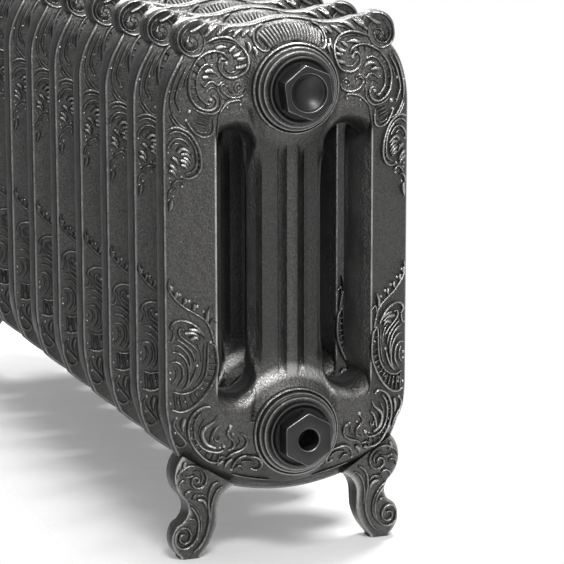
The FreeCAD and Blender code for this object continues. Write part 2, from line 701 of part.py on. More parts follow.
def copy_of(master, label):
    """A further piece of the same pattern."""
    link = master.Document.addObject("App::Link", label)
    link.LinkedObject = master
    return link


def row_of(doc, labels, make):
    """One piece made by make(label) and copies of it under the other labels."""
    master = make(labels[0])
    return [master] + [copy_of(master, label) for label in labels[1:]]


def build_sections(doc):
    """The castings from -X to +X, on feet at both ends of the row."""
    count = int(number(doc, "section_count"))
    ends = row_of(doc, ["leg_section_1", f"leg_section_{count}"],
                  lambda label: make_section(doc, label, on_feet=True))
    middle = row_of(doc, [f"section_{index}" for index in range(2, count)],
                    lambda label: make_section(doc, label, on_feet=False))
    sections = [ends[0], *middle, ends[1]]
    for index, section in enumerate(sections):
        place(section, f"section_pitch * ({index} - (section_count - 1) / 2)")
    return sections


def build_joints(doc):
    """A nipple and a gasket at the upper and lower hub of every joint."""
    count = int(number(doc, "section_count")) - 1
    levels = (("lower", "lower_hub_height"), ("upper", UPPER_HUB))
    joints = [(level, height, index) for level, height in levels for index in range(1, count + 1)]
    nipples = row_of(doc, [f"nipple_{level}_{index}" for level, _, index in joints],
                     lambda label: make_nipple(doc, label))
    gaskets = row_of(doc, [f"joint_gasket_{level}_{index}" for level, _, index in joints],
                     lambda label: make_gasket(doc, label, "joint_gasket_radius", "joint_gap"))
    for nipple, gasket, (_, height, index) in zip(nipples, gaskets, joints):
        plane = f"section_pitch * ({index} - section_count / 2)"
        place(nipple, plane, height)
        place(gasket, f"{plane} - joint_gap / 2", height)
    return nipples + gaskets


def build_end_fittings(doc):
    """Plugs and bushes on their gaskets at the four outer hubs, and the air vent."""
    seat = f"({END_FACE} + plug_gasket_thickness)"
    vent_seat = f"({seat} + {PLUG_TOP} - plug_recess_depth)"
    lower = "lower_hub_height"
    bushes = row_of(doc, ["connection_bush_right", "connection_bush_left"],
                    lambda label: make_connection_bush(doc, label))
    gaskets = row_of(doc, ["plug_gasket_upper_right", "plug_gasket_lower_right",
                           "plug_gasket_upper_left", "plug_gasket_lower_left"],
                     lambda label: make_gasket(doc, label, "plug_gasket_radius",
                                               "plug_gasket_thickness"))
    for gasket, height in zip(gaskets[:2], (UPPER_HUB, lower)):
        place(gasket, END_FACE, height)
    for gasket, height in zip(gaskets[2:], (UPPER_HUB, lower)):
        place(gasket, f"-{END_FACE}", height, turned=True)
    return gaskets + [
        place(make_blanking_plug(doc, "blanking_plug"), seat, UPPER_HUB),
        place(bushes[0], seat, lower),
        place(bushes[1], f"-{seat}", lower, turned=True),
        place(make_vent_bush(doc, "vent_bush"), f"-{seat}", UPPER_HUB, turned=True),
        place(make_vent_body(doc, "vent_body"), f"-{vent_seat}", UPPER_HUB, turned=True),
        place(make_vent_screw(doc, "vent_screw"), f"-({vent_seat} + {KEY_FLOOR})", UPPER_HUB,
              turned=True),
    ]


def check(doc, pieces):
    """Stop before anything is written if a feature failed or a shape is not sound."""
    for item in doc.Objects:
        if "Invalid" in item.State or "Error" in item.State:
            raise RuntimeError(f"{item.Name} {item.Label}: {item.State}")
    for piece in pieces:
        shape = Part.getShape(piece)
        if shape.isNull() or not shape.isValid() or len(shape.Solids) != 1:
            raise RuntimeError(f"{piece.Label}: not one sound solid")


def main():
    doc = FreeCAD.newDocument("radiator")
    make_sheet(doc)
    pieces = build_sections(doc) + build_joints(doc) + build_end_fittings(doc)
    doc.recompute()
    check(doc, pieces)
    os.makedirs("parts", exist_ok=True)
    for piece in pieces:
        Part.getShape(piece).exportStep(os.path.join("parts", piece.Label + ".step"))


main()
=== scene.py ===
"""Looks of a cast iron column radiator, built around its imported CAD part.

The castings are modelled in millimetres about their own mid-plane: x along the row, y across the
depth, z above the floor. Each is a quarter that is mirrored twice, then laid in its place.
"""
import math
from itertools import chain

import bmesh
import bpy
from mathutils import Matrix, Vector
from mathutils.kdtree import KDTree


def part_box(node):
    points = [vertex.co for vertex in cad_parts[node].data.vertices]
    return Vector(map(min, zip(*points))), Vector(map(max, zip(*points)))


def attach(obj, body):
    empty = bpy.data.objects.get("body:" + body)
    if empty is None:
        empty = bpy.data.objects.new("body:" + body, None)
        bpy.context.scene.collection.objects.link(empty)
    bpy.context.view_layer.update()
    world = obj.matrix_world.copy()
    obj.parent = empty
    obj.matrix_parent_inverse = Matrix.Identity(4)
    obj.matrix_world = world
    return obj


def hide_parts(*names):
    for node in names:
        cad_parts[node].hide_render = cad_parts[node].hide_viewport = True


bl_info = {
    "name": "Cast Iron Column Radiator",
    "version": (1, 0, 0),
    "blender": (4, 5, 0),
    "location": "View3D > Sidebar > Radiator",
    "description": "Ornamented castings, plugs, finishes and studio for a column radiator",
    "category": "Object",
}

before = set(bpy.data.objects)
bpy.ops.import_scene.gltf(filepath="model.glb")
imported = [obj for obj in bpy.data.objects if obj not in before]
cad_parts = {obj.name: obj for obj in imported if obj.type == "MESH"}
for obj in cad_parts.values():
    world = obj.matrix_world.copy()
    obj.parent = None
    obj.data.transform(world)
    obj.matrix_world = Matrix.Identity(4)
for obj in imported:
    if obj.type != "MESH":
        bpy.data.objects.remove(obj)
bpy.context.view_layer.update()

MM = 0.001


def middle_of(node):
    """Centre of a CAD node's box, in millimetres."""
    low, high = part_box(node)
    return [(a + b) / 2 / MM for a, b in zip(low, high)]


def span_of(node, axis):
    """Length of a CAD node's box along an axis, in millimetres."""
    low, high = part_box(node)
    return (high[axis] - low[axis]) / MM


# ---------------------------------------------------------------- places read from the frame (mm)
SECTIONS = sorted((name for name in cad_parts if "section" in name),
                  key=lambda name: middle_of(name)[0])
LOWER_HUB = middle_of("connection_bush_right")[2]
UPPER_HUB = middle_of("blanking_plug")[2]
SIDE = span_of(SECTIONS[0], 1) / 2
HUB_FACE = span_of(SECTIONS[0], 0) / 2
PLUG_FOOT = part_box("plug_gasket_upper_right")[1][0] / MM
PLUG_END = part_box("blanking_plug")[1][0] / MM

# ---------------------------------------------------------------- sizes of the casting (mm)
COLUMN = 28              # half the thickness of the outer column at its inner wall
EDGE = 10                # half the thickness at the outer side
INNER_WALL = SIDE - 42   # middle to the inner wall of the outer column
WALL_SWELL = 10          # how far the outer column bulges into the slot at the mid-plane
SLOT_HALF = 18.25        # half the width of the slot between the columns
SLOT_MIDDLE = INNER_WALL - SLOT_HALF
SLOT_LOW = LOWER_HUB + 54.25     # centre of the slot's lower round end
SLOT_HIGH = UPPER_HUB - 54.25    # centre of its upper round end
CENTRE_EDGE = 26         # half the width of the middle column's face
CENTRE_HEIGHT = 15.5     # how far that face stands from the mid-plane at its edge
CREST = UPPER_HUB + 59.7     # height of the hump in the middle of the crest
CREST_HALF = 3.5         # half the thickness of the crest
LEAN_START = UPPER_HUB - 20      # height at which the face starts to lean in to the crest
LEAN = 0.295             # and how far it leans for each millimetre
FLARE_START = UPPER_HUB + 28     # height at which the lean eases off
FLARE = 10.3             # half the thickness that the casting loses from there to the crest
BELLY = LOWER_HUB - 57.5         # height of the underside in the middle
BELLY_START = LOWER_HUB - 12     # height at which the face starts to lean in to the underside
BELLY_LEAN = 0.45        # and how far it leans for each millimetre
KEEL_DEPTH = 12          # the middle of the underside to the line where the face turns in
KEEL_RISE = 30.5         # how far that line rises
KEEL_SPAN = 86           # from the middle to where it has risen so far
KEEL_LEAN = 0.9          # how far the face leans below it for each millimetre
KEEL_HALF = 6.5          # half the thickness of the keel
FACE_MOST = 31           # the most that the face may stand from the mid-plane
HUB = 36                 # radius of the hub's boss
CONE = 30                # how far the skirt under a hub stands at the boss
EAR = (83.6, UPPER_HUB + 43.2, 17.2)     # middle, height and radius of the volute


def smooth_min(a, b, blend):
    """The lesser of two heights, with a round transition."""
    share = max(0, min(1, 0.5 + 0.5 * (b - a) / blend))
    return b + (a - b) * share - blend * share * (1 - share)


def smooth_max(a, b, blend):
    """The greater of two heights, with a round transition."""
    return -smooth_min(-a, -b, blend)


def smooth_step(value, low, high):
    """Rise from 0 at low to 1 at high, level at both ends."""
    share = max(0, min(1, (value - low) / (high - low)))
    return share * share * (3 - 2 * share)


# ---------------------------------------------------------------- surfaces of the casting
def rim_height(y):
    """Height of the line where the face turns in to the keel."""
    return BELLY + KEEL_DEPTH + KEEL_RISE * (abs(y) / KEEL_SPAN) ** 2.3


def cone_height(y, z):
    """The skirt that falls from either hub, slowly towards the middle column."""
    lower = z < (LOWER_HUB + UPPER_HUB) / 2
    rise = z - LOWER_HUB if lower else UPPER_HUB - z
    radius = max(1, math.hypot(y, rise))
    slope = 1 - 0.4 * smooth_step(rise / radius, 0.3, 0.95)
    return CONE - slope * (radius - HUB)


def face_height(y, z):
    """How far the face of the outer rim stands from the mid-plane."""
    across = abs(y)
    side = COLUMN - (COLUMN - EDGE) * max(0, across - INNER_WALL) / (SIDE - INNER_WALL)
    top = COLUMN - LEAN * (z - LEAN_START)
    if z > FLARE_START:
        top = CREST_HALF + FLARE * max(0, (CREST - z) / (CREST - FLARE_START)) ** 1.25
    belly = COLUMN - BELLY_LEAN * (BELLY_START - z)
    height = smooth_min(smooth_min(side, top, 4), belly, 4)
    height = smooth_max(height, cone_height(y, z), 3)
    height -= KEEL_LEAN * max(0, rim_height(y) - z)
    return max(CREST_HALF if z > LOWER_HUB else KEEL_HALF, min(FACE_MOST, height))


def slot_distance(y, z):
    """Distance from the outline of the slot, at the mid-plane."""
    nearest = max(SLOT_LOW, min(SLOT_HIGH, z))
    return math.hypot(abs(y) - SLOT_MIDDLE, z - nearest) - SLOT_HALF


def past_slot(z):
    """How far a height lies beyond the straight part of the slots."""
    return max(SLOT_LOW - z, z - SLOT_HIGH)


def rolled(y, z):
    """Share of the roll by which the face runs into a slot's end, beside the hubs."""
    return smooth_step(abs(y), CENTRE_EDGE, 42) * smooth_step(past_slot(z), 0, 12)


def inner_height(y, z):
    """How far the middle column and the headers stand from the mid-plane."""
    gap = slot_distance(y, z)
    if gap < 0.01:
        return 0
    across = abs(y)
    past = past_slot(z)
    flank = 1.9 * max(0, across - CENTRE_EDGE) * (1 - smooth_step(past, -24, 8))
    middle = min(CENTRE_HEIGHT + 0.2 * max(0, 27 - across), CENTRE_HEIGHT + 2) - flank
    middle += rib_height(across) * (1 - smooth_step(past, 10, 30))
    level = middle + (face_height(y, z) - 0.2 - middle) * rolled(y, z)
    level = smooth_max(level, min(cone_height(y, z) - 0.8, 30.5), 1.8)
    width = 17 + 7 * smooth_step(past, -5, 12)
    edge = FACE_MOST * math.sqrt(1 - (1 - min(gap / width, 1)) ** 2)
    return max(0, smooth_min(level, edge, 3))


def rib_height(across):
    """Relief of the middle column: a rib with hollow flanks, and a thin ridge beside each."""
    if across <= 4.8:
        return 4.6 - 0.8 * (across / 4.8) ** 2
    if across <= 11:
        return 3.8 - 6 * math.sin(math.pi / 2 * (across - 4.8) / 6.2)
    if across <= 12.2:
        return -2.2 + 2.8 * (across - 11)
    if across <= 13:
        return 1.16
    return max(0, 1.16 - 0.5 * (across - 13))


# ---------------------------------------------------------------- outlines in the casting's plane
def arc(start, end, radius, count, swell=1):
    """Points after start on the arc to end. It swells to the right of the way, or left for -1."""
    chord = end - start
    rise = math.sqrt(max(0, radius ** 2 - chord.length ** 2 / 4))
    middle = (start + end) / 2 + Vector((-chord.y, chord.x)).normalized() * rise * swell
    turn = (start - middle).angle_signed(end - middle) / count
    return [middle + Matrix.Rotation(-turn * step, 2) @ (start - middle)
            for step in range(1, count + 1)]


def line(start, end, count):
    """Points after start on the straight way to end."""
    return [start.lerp(end, step / count) for step in range(1, count + 1)]


def arch_radius(half_width, rise):
    """Radius of a flat arch from half its width and its rise."""
    return (half_width ** 2 + rise ** 2) / 2 / rise


def outer_outline():
    """Half of the casting's outline, from the middle of the underside round to the crest. Behind the
    volute it cuts the corner."""
    middle, height, radius = EAR
    below, lean = math.pi / 4, math.radians(10)
    neck = Vector((middle + radius * math.cos(below), height - radius * math.sin(below)))
    ear_top = Vector((middle - radius * math.sin(lean), height + radius * math.cos(lean)))
    corners = [
        (Vector((50, BELLY + 7)), arch_radius(50, 7), 16, 1),
        (Vector((SIDE - 12, LOWER_HUB - 19)), 150, 20, 1),
        (Vector((SIDE, LOWER_HUB + 33)), arch_radius(52, 12), 18, 1),
        (Vector((SIDE, UPPER_HUB - 20)), None, 44, 1),
        (neck, arch_radius(neck.y - UPPER_HUB + 20, SIDE - neck.x), 18, 1),
        (ear_top, None, 8, 1),
        (Vector((62, CREST - 3)), 60, 8, -1),
        (Vector((21, CREST - 3)), arch_radius(20.5, 3.2), 14, -1),
        (Vector((0, CREST)), arch_radius(21, 3), 10, 1),
    ]
    return run_of(Vector((0, BELLY)), corners)


def inner_outline():
    """Half of the recess's outline, with as many points along each part as the outer outline."""
    low, high = LOWER_HUB - 12, UPPER_HUB - 15
    turn = math.cos(math.pi / 4)
    lower, upper = 23, 16
    bend = Vector((INNER_WALL - lower * (1 - turn), LOWER_HUB + 37 - lower * turn))
    half_way = Vector((INNER_WALL - upper * (1 - turn), UPPER_HUB - 31 + upper * turn))
    corners = [
        (Vector((36, low + 24)), None, 16, 1),
        (bend, 46, 20, 1),
        (Vector((INNER_WALL, LOWER_HUB + 37)), lower, 18, 1),
        (Vector((INNER_WALL, UPPER_HUB - 31)), None, 44, 1),
        (half_way, upper, 18, 1),
        (Vector((INNER_WALL - upper, high)), upper, 16, 1),
        (Vector((18, high)), None, 14, 1),
        (Vector((0, high)), None, 10, 1),
    ]
    return run_of(Vector((0, low)), corners)


def run_of(start, corners):
    """Points along a run of lines and arcs: each ends at a corner and has its radius, or None, its
    number of points and the side to which it swells."""
    points = [start]
    for corner, radius, count, swell in corners:
        if radius is None:
            points += line(points[-1], corner, count)
        else:
            points += arc(points[-1], corner, radius, count, swell)
    return points


# ---------------------------------------------------------------- mesh making
MERGE = 0.002    # distance within which points are one (mm)


def new_shape():
    """An empty mesh that keeps each vertex's place in its row, and one value for how worn its iron is,
    with painted highlights and painted shade in the same value.
    """
    shape = bmesh.new()
    shape.verts.layers.int.new("place")
    shape.verts.layers.float.new("wear_and_light")
    return shape


def loft(shape, rows, ring=None, wear_and_light=None):
    """Skin a run of rows: the first is an open string of edges, or rings of so many points, and is
    extruded from row to row. Wear with painted light is one value for each row."""
    place = shape.verts.layers.int["place"]
    worn_and_lit = shape.verts.layers.float["wear_and_light"]
    verts = []
    for index, point in enumerate(rows[0]):
        vertex = shape.verts.new(point)
        vertex[place] = index
        vertex[worn_and_lit] = wear_and_light[0] if wear_and_light else 0
        verts.append(vertex)
    edges = []
    for index, vertex in enumerate(verts):
        following = index + 1
        if ring and following % ring == 0:
            following -= ring
        if following < len(verts):
            edges.append(shape.edges.new((vertex, verts[following])))
    for number, row in enumerate(rows[1:], start=1):
        made = bmesh.ops.extrude_edge_only(shape, edges=edges)["geom"]
        for item in made:
            if isinstance(item, bmesh.types.BMVert):
                item.co = row[item[place]]
                if wear_and_light:
                    item[worn_and_lit] = wear_and_light[number]
        fresh = {item for item in made if isinstance(item, bmesh.types.BMVert)}
        edges = [item for item in made if isinstance(item, bmesh.types.BMEdge)
                 and item.verts[0] in fresh and item.verts[1] in fresh]


def open_edges(shape):
    """Edges round the holes of a mesh."""
    return [edge for edge in shape.edges if edge.is_boundary]


def mirror(shape, axes, merge):
    """Add the mirror image through each plane in turn, and merge what comes within reach."""
    for axis in axes:
        everything = shape.verts[:] + shape.edges[:] + shape.faces[:]
        bmesh.ops.mirror(shape, geom=everything, axis=axis, merge_dist=merge)


def close_up(shape):
    """Merge what meets, fill the open ends and turn the faces outwards."""
    bmesh.ops.remove_doubles(shape, verts=shape.verts, dist=MERGE)
    bmesh.ops.dissolve_degenerate(shape, edges=shape.edges, dist=MERGE)
    bmesh.ops.holes_fill(shape, edges=open_edges(shape), sides=0)
    bmesh.ops.recalc_face_normals(shape, faces=shape.faces)


def joined(shape, axes="YX"):
    """Complete a quarter or a half whose cut sides meet their mirror images."""
    mirror(shape, axes, merge=0.01)
    close_up(shape)
    return shape


def repeated(shape, axes="YX"):
    """Repeat loose pieces through one plane after another."""
    mirror(shape, axes, merge=0.0001)
    bmesh.ops.recalc_face_normals(shape, faces=shape.faces)
    return shape


def add_to(target, shape):
    """Pour one mesh into another and free it."""
    mesh = bpy.data.meshes.new("poured")
    shape.to_mesh(mesh)
    shape.free()
    target.from_mesh(mesh)
    bpy.data.meshes.remove(mesh)


# ---------------------------------------------------------------- parts of the casting
def rim_rows():
    """Rows of the outer rim, from the mid-plane at the recess over the face to the outer edge."""
    inner, outer = inner_outline(), outer_outline()
    across = 18              # strips from the recess to the outer edge
    lip, most_round = 1.5, 2.6   # roundings at the recess and at the outer edge
    rows, wear_and_light = [], []

    def row(place_on, worn_and_lit):
        rows.append([place_on(a, b) for a, b in zip(inner, outer)])
        wear_and_light.append(worn_and_lit)

    def at_face(point, drop=0):
        return Vector((face_height(*point) - drop, *point))

    def at_inner(a, b, turn):
        way = (b - a).normalized()
        spot = a + way * lip * (1 - math.cos(turn))
        return at_face(spot, lip * (1 - math.sin(turn)))

    def at_outer(a, b, turn):
        way = (b - a).normalized()
        round_by = min(most_round, 0.6 * face_height(*b))
        spot = b - way * round_by * (1 - math.cos(turn))
        return Vector((face_height(*b) - round_by * (1 - math.sin(turn)), *spot))

    # Up the recess's wall the value is painted light that lifts the shade inside the slots
    for height, worn_and_lit in ((0, 0.55), (5, 0.55), (10, 0.5), (15, 0.45), (20, 0.35), (24, 0.2)):
        row(lambda a, b: Vector((height, *swollen(a, height))), worn_and_lit)
    # Round the recess's lip: polish that wears there, partly a painted highlight
    for share, worn_and_lit in ((0, 0.1), (0.5, 0.8), (1, 1)):
        row(lambda a, b: at_inner(a, b, share * math.pi / 2), worn_and_lit)
    for step in range(1, across):
        row(lambda a, b: at_face(a.lerp(b, step / across)), 0)
    # Round the outer edge: polish, partly a painted highlight, then painted shade down the side that
    # faces the next casting
    for share, worn_and_lit in ((1, 0.3), (0.6, 0.7), (0.25, 0.1), (0, -0.2)):
        row(lambda a, b: at_outer(a, b, share * math.pi / 2), worn_and_lit)
    row(lambda a, b: Vector((0, *b)), -0.4)
    return rows, wear_and_light


def swollen(point, height):
    """A point of the recess's wall, moved toward the slot where the outer column is round."""
    straight = 1 - smooth_step(past_slot(point.y), -6, 14)
    return point - Vector((WALL_SWELL * straight * (1 - (height / COLUMN) ** 2) ** 0.8, 0))


def make_rim():
    """Outer columns, crest and underside: the frame round the recess."""
    shape = new_shape()
    rows, wear_and_light = rim_rows()
    loft(shape, rows, wear_and_light=wear_and_light)
    worn_and_lit = shape.verts.layers.float["wear_and_light"]
    # Beyond the ends of the slots the painted light on the wall and the polish on its lip fade out
    for vertex in shape.verts:
        _, y, z = vertex.co
        if y < INNER_WALL + 2 and LOWER_HUB - 20 < z < UPPER_HUB:
            vertex[worn_and_lit] *= 1 - smooth_step(past_slot(z), 8, 22)
    return joined(shape)


def reach(start, way, outline):
    """Distance from a point along a direction to an outline, or to the middle plane."""
    best = start.x / -way.x if way.x < -1e-6 else math.inf
    for first, last in zip(outline, outline[1:]):
        edge = last - first
        turn = way.x * edge.y - way.y * edge.x
        if abs(turn) < 1e-9:
            continue
        gap = first - start
        along = (gap.x * edge.y - gap.y * edge.x) / turn
        share = (gap.x * way.y - gap.y * way.x) / turn
        if along > 1e-6 and -1e-6 <= share <= 1 + 1e-6:
            best = min(best, along)
    return best


# Distances from the middle at which the middle column has a row, close together along its ridges.
COLUMN_STEPS = (34, 33.8, 33.4, 32.7, 31.8, 30.8, 29.6, 28.4, 27, 25.6, 24, 22, 20, 18, 16.2, 14.8,
                13.4, 12.6, 12.1, 11.6, 10.6, 9.2, 7.6, 6.4, 5.6, 5.2, 4.8, 3.6, 1.8, 0)
INTO_WALL = 1.5      # how far the headers reach into the outer column's wall


def ray(start, way, length):
    """Points of the inner surface from the slot's edge along a ray."""
    width = SLOT_MIDDLE - SLOT_HALF
    points = []
    for step in COLUMN_STEPS:
        spot = start + way * length * (1 - step / width)
        points.append(Vector((inner_height(*spot) if step < width else 0, max(0, spot.x), spot.y)))
    return points


def fan_rows(centre, side, low, angles, corner, walled):
    """Rays round a slot's end, at angles from the way to the outer column. Those that meet its wall
    go on into it and come down to the mid-plane."""
    outline = inner_outline()
    rows = []
    for angle in angles:
        turn = math.radians(angle) * side
        way = Vector((math.cos(turn), math.sin(turn)))
        start = centre + way * SLOT_HALF
        length = (low - start).length if angle == corner else reach(start, way, outline)
        if walled and angle != corner:
            length = max(0, length if math.isfinite(length) else 0) + INTO_WALL
        row = ray(start, way, length)
        if walled:
            row.append(Vector((0, *row[-1].yz)))
        rows.append(row)
    return rows


def paint_light_inside(shape):
    """Paint light inside: lighten the walls of the slots with painted light in their shade, paint a
    highlight on the saddles beside the lower hub, and darken the panels with painted shade.
    """
    worn_and_lit = shape.verts.layers.float["wear_and_light"]
    for vertex in shape.verts:
        x, y, z = vertex.co
        raised = smooth_step(x, 9, 15)
        # Painted light lifts the slot walls; painted shade darkens the panels below the face
        vertex[worn_and_lit] = 0.45 * (1 - raised) - 0.5 * raised * smooth_step(27 - x, 0, 9)
        radius = math.hypot(y, z - LOWER_HUB)
        # Painted highlight on the saddles round the lower hub
        saddle_highlight = smooth_step(radius, 41, 51) * (1 - smooth_step(radius, 53, 70))
        vertex[worn_and_lit] += 1.15 * saddle_highlight * smooth_step(29 - x, 0, 8) * smooth_step(x, 10, 19)


def make_inside():
    """Middle column and headers around the slots."""
    shape = new_shape()
    outline = inner_outline()
    for middle, side in ((SLOT_LOW, -1), (SLOT_HIGH, 1)):
        centre = Vector((SLOT_MIDDLE, middle))
        low = Vector((0, outline[0].y if side < 0 else outline[-1].y))
        corner = math.degrees((low - centre).angle_signed(Vector((1, 0)))) % 360
        corner = corner if side > 0 else 360 - corner
        to_wall = [corner * step / 40 for step in range(41)]
        to_middle = [corner + (180 - corner) * step / 22 for step in range(23)]
        loft(shape, fan_rows(centre, side, low, to_wall, corner, walled=True))
        loft(shape, fan_rows(centre, side, low, to_middle, corner, walled=False))
    rows = []
    for share in (0, 0.02, 0.05, 0.1, 0.2, 0.35, 0.5, 0.65, 0.8, 0.9, 0.95, 0.98, 1):
        start = Vector((SLOT_MIDDLE - SLOT_HALF, SLOT_LOW + (SLOT_HIGH - SLOT_LOW) * share))
        rows.append(ray(start, Vector((-1, 0)), start.x))
    loft(shape, rows)
    paint_light_inside(shape)
    return joined(shape)


def turned(profile, middle, segments):
    """Turn a closed profile of (x, radius) or (x, radius, wear with painted light) about the x axis at
    a (y, z).
    """
    shape = new_shape()
    worn_and_lit = shape.verts.layers.float["wear_and_light"]
    verts = []
    for x, radius, *wear_and_light in profile:
        verts.append(shape.verts.new((x, middle[0] + radius, middle[1])))
        verts[-1][worn_and_lit] = wear_and_light[0] if wear_and_light else 0
    edges = [shape.edges.new(pair) for pair in zip(verts, verts[1:] + verts[:1])]
    bmesh.ops.spin(shape, geom=verts + edges, cent=(0, *middle), axis=(1, 0, 0), dvec=(0, 0, 0),
                   angle=math.tau, steps=segments, use_merge=True)
    bmesh.ops.remove_doubles(shape, verts=shape.verts, dist=0.001)
    bmesh.ops.recalc_face_normals(shape, faces=shape.faces)
    return shape


def make_hub(height):
    """Collar, boss and machined rim of one hub, on both faces."""
    foot, bore, rim = 10, 20.2, HUB - 3.2
    # The third value on some rows is polish on the ring edges, partly a painted highlight, and painted
    # shade in the grooves between them
    half = [(foot, HUB + 3.4), (30.4, HUB + 3.4), (31.6, HUB + 3.1, 0.7), (32.3, HUB + 2.3, 0.8),
            (32.2, HUB + 1.5, 0), (31, HUB + 0.9, -0.9), (31.4, HUB + 0.4, -0.6), (34.3, HUB, 0.2),
            (35.1, HUB - 0.5, 0.7), (35.4, HUB - 1.4, 0.3), (35.2, HUB - 2.5, -0.3),
            (35.6, rim + 0.2, -0.6), (HUB_FACE - 1.2, rim, 0), (HUB_FACE - 0.4, rim - 0.4, 0.7),
            (HUB_FACE, rim - 1.3, 0.3), (HUB_FACE, rim - 3, -0.6), (HUB_FACE, bore), (foot, bore)]
    return repeated(turned(half, (0, height), 72), "X")


def make_shell():
    """Fluted shell above the upper hub."""
    shape = new_shape()
    flutes, half_sweep, per_flute = 9, math.radians(33), 5
    low, high, foot, top = 41, 54, 27.5, 12.5
    rows, wear_and_light = [], []
    count = flutes * per_flute
    for share in (None, 0, 0.06, 0.2, 0.36, 0.52, 0.68, 0.82, 0.93, 1, None):
        row = []
        for index in range(count + 1):
            angle = half_sweep * index / count
            flute = abs(math.sin(math.pi * index / per_flute))
            if share is None:
                radius, height = (low - 1 if not rows else high - 0.4), 0
            else:
                radius = low + (high - low + 0.8 * flute) * share
                height = foot + (top - foot) * share ** 1.25
                height += (1.5 * flute + 1) * math.sin(math.pi * min(1, 0.1 + 0.9 * share))
            row.append(Vector((height, radius * math.sin(angle),
                               UPPER_HUB + radius * math.cos(angle))))
        rows.append(row)
        # The shell's face takes some polish, partly a painted highlight
        wear_and_light.append(0.35 if share else 0.1)
    loft(shape, rows, wear_and_light=wear_and_light)
    return joined(shape)


def ear_height(y, z):
    """Height of the volute's disc, or nothing outside it."""
    radius = math.hypot(abs(y) - EAR[0], z - EAR[1])
    if radius > EAR[2]:
        return 0
    return 6.6 + 1.2 * smooth_step(radius, 9, 15.4) - 1.4 * smooth_step(radius, 15.4, 17.2)


def make_ear():
    """Volute disc at the end of the crest."""
    radii = (0.02, 3, 6, 9, 10.5, 12, 13.5, 15, 15.8, 16.4, 16.9)
    top = [(ear_height(EAR[0] + radius, EAR[1]), radius) for radius in radii]
    profile = top + [(5.2, EAR[2]), (0, EAR[2])]
    profile += [(-x, radius) for x, radius in profile[-2::-1]]
    return repeated(turned(profile, EAR[:2], 64), "Y")


# ---------------------------------------------------------------- feet
def foot_height(z):
    """How far the foot's side stands from the mid-plane, thinner towards its pad."""
    return 8 + 4.4 * smooth_step(z, 10, 62)


def foot_sides():
    """Inner and outer side of the foot, from where it leaves the casting down to its pad."""
    def path(start, corners):
        return run_of(Vector(start), [(Vector(end), radius, count, swell)
                                      for end, radius, count, swell in corners])

    inner = path((50, 64), [((65.5, 43), 22, 14, -1), ((65.5, 30), None, 6, 1),
                            ((80, 2.5), 52, 14, 1), ((80, 0), None, 1, 1)])
    outer = path((98, 94.5), [((98, 57), 27, 14, -1), ((102.5, 31), 15.4, 6, 1),
                              ((99.2, 2.5), 19.5, 14, -1), ((99.2, 0), None, 1, 1)])
    return inner, outer


def make_foot():
    """The two scroll feet of an end casting."""
    shape = new_shape()
    inner, outer = foot_sides()
    rows, wear_and_light = [], []
    edge = 2.2       # rounding of its edges

    def row(share, turn, worn_and_lit):
        points = []
        for a, b in zip(inner, outer):
            way = (b - a).normalized()
            inset = edge * (1 - math.cos(turn))
            spot = (a + way * inset).lerp(b - way * inset, share)
            points.append(Vector((foot_height(spot.y) - edge * (1 - math.sin(turn)), *spot)))
        rows.append(points)
        wear_and_light.append(worn_and_lit)

    rows.append([Vector((0, *a)) for a in inner])
    wear_and_light.append(0)
    # Polish round the foot's edges, partly a painted highlight
    for turn, worn_and_lit in ((0, 0.2), (0.5, 0.9), (1, 0.6)):
        row(0, turn * math.pi / 2, worn_and_lit)
    for step in range(1, 8):
        row(step / 8, math.pi / 2, 0)
    for turn, worn_and_lit in ((1, 0.6), (0.5, 0.9), (0, 0.2)):
        row(1, turn * math.pi / 2, worn_and_lit)
    rows.append([Vector((0, *b)) for b in outer])
    wear_and_light.append(0)
    loft(shape, rows, wear_and_light=wear_and_light)
    return repeated(joined(shape, "X"), "Y")


# ---------------------------------------------------------------- ornament, drawn on one side (mm)
# Each stroke is its width and height, and the points that it runs through: distance from the middle
# and height above the floor, for hubs at the two heights below. A leaf thins towards its last point.
DRAWN_LOWER, DRAWN_UPPER = 112, 412
BOLD, LINE, FINE, RUNG, LEAF = (3.3, 3.1), (2.6, 2.6), (1.8, 2), (2, 2.9), (4.1, 3.1)

CREST_SCROLL = (
    (FINE, (47, 404), (57, 405), (62.5, 401.5), (66.5, 396), (68.8, 390), (70, 382), (71, 374)),
    (BOLD, (75, 451.5), (66, 455), (57, 456), (48, 453), (42, 446), (39.5, 438), (42, 429),
     (47, 424.5), (53, 422.5), (58, 423.5), (62, 426.5), (64.5, 431), (64.5, 435), (62, 438.5),
     (59, 438), (57.5, 435.5)),
    (FINE, (44, 445), (47, 450), (52, 452), (60, 453), (70, 451)),
    (FINE, (46, 436), (47.5, 430.5), (51, 427.5), (55.5, 427), (59, 429.5), (60.5, 433)),
    (LEAF, (50, 430.5), (45, 431.5), (40, 434)),
    (LEAF, (48, 437.5), (44, 437.8), (40.5, 439)),
    (LEAF, (51, 440), (46, 441.5), (42, 445.5)),
    (LEAF, (54, 444), (51, 446), (47, 449)),
    (LEAF, (66, 447), (60, 448), (54, 447.5)),
)

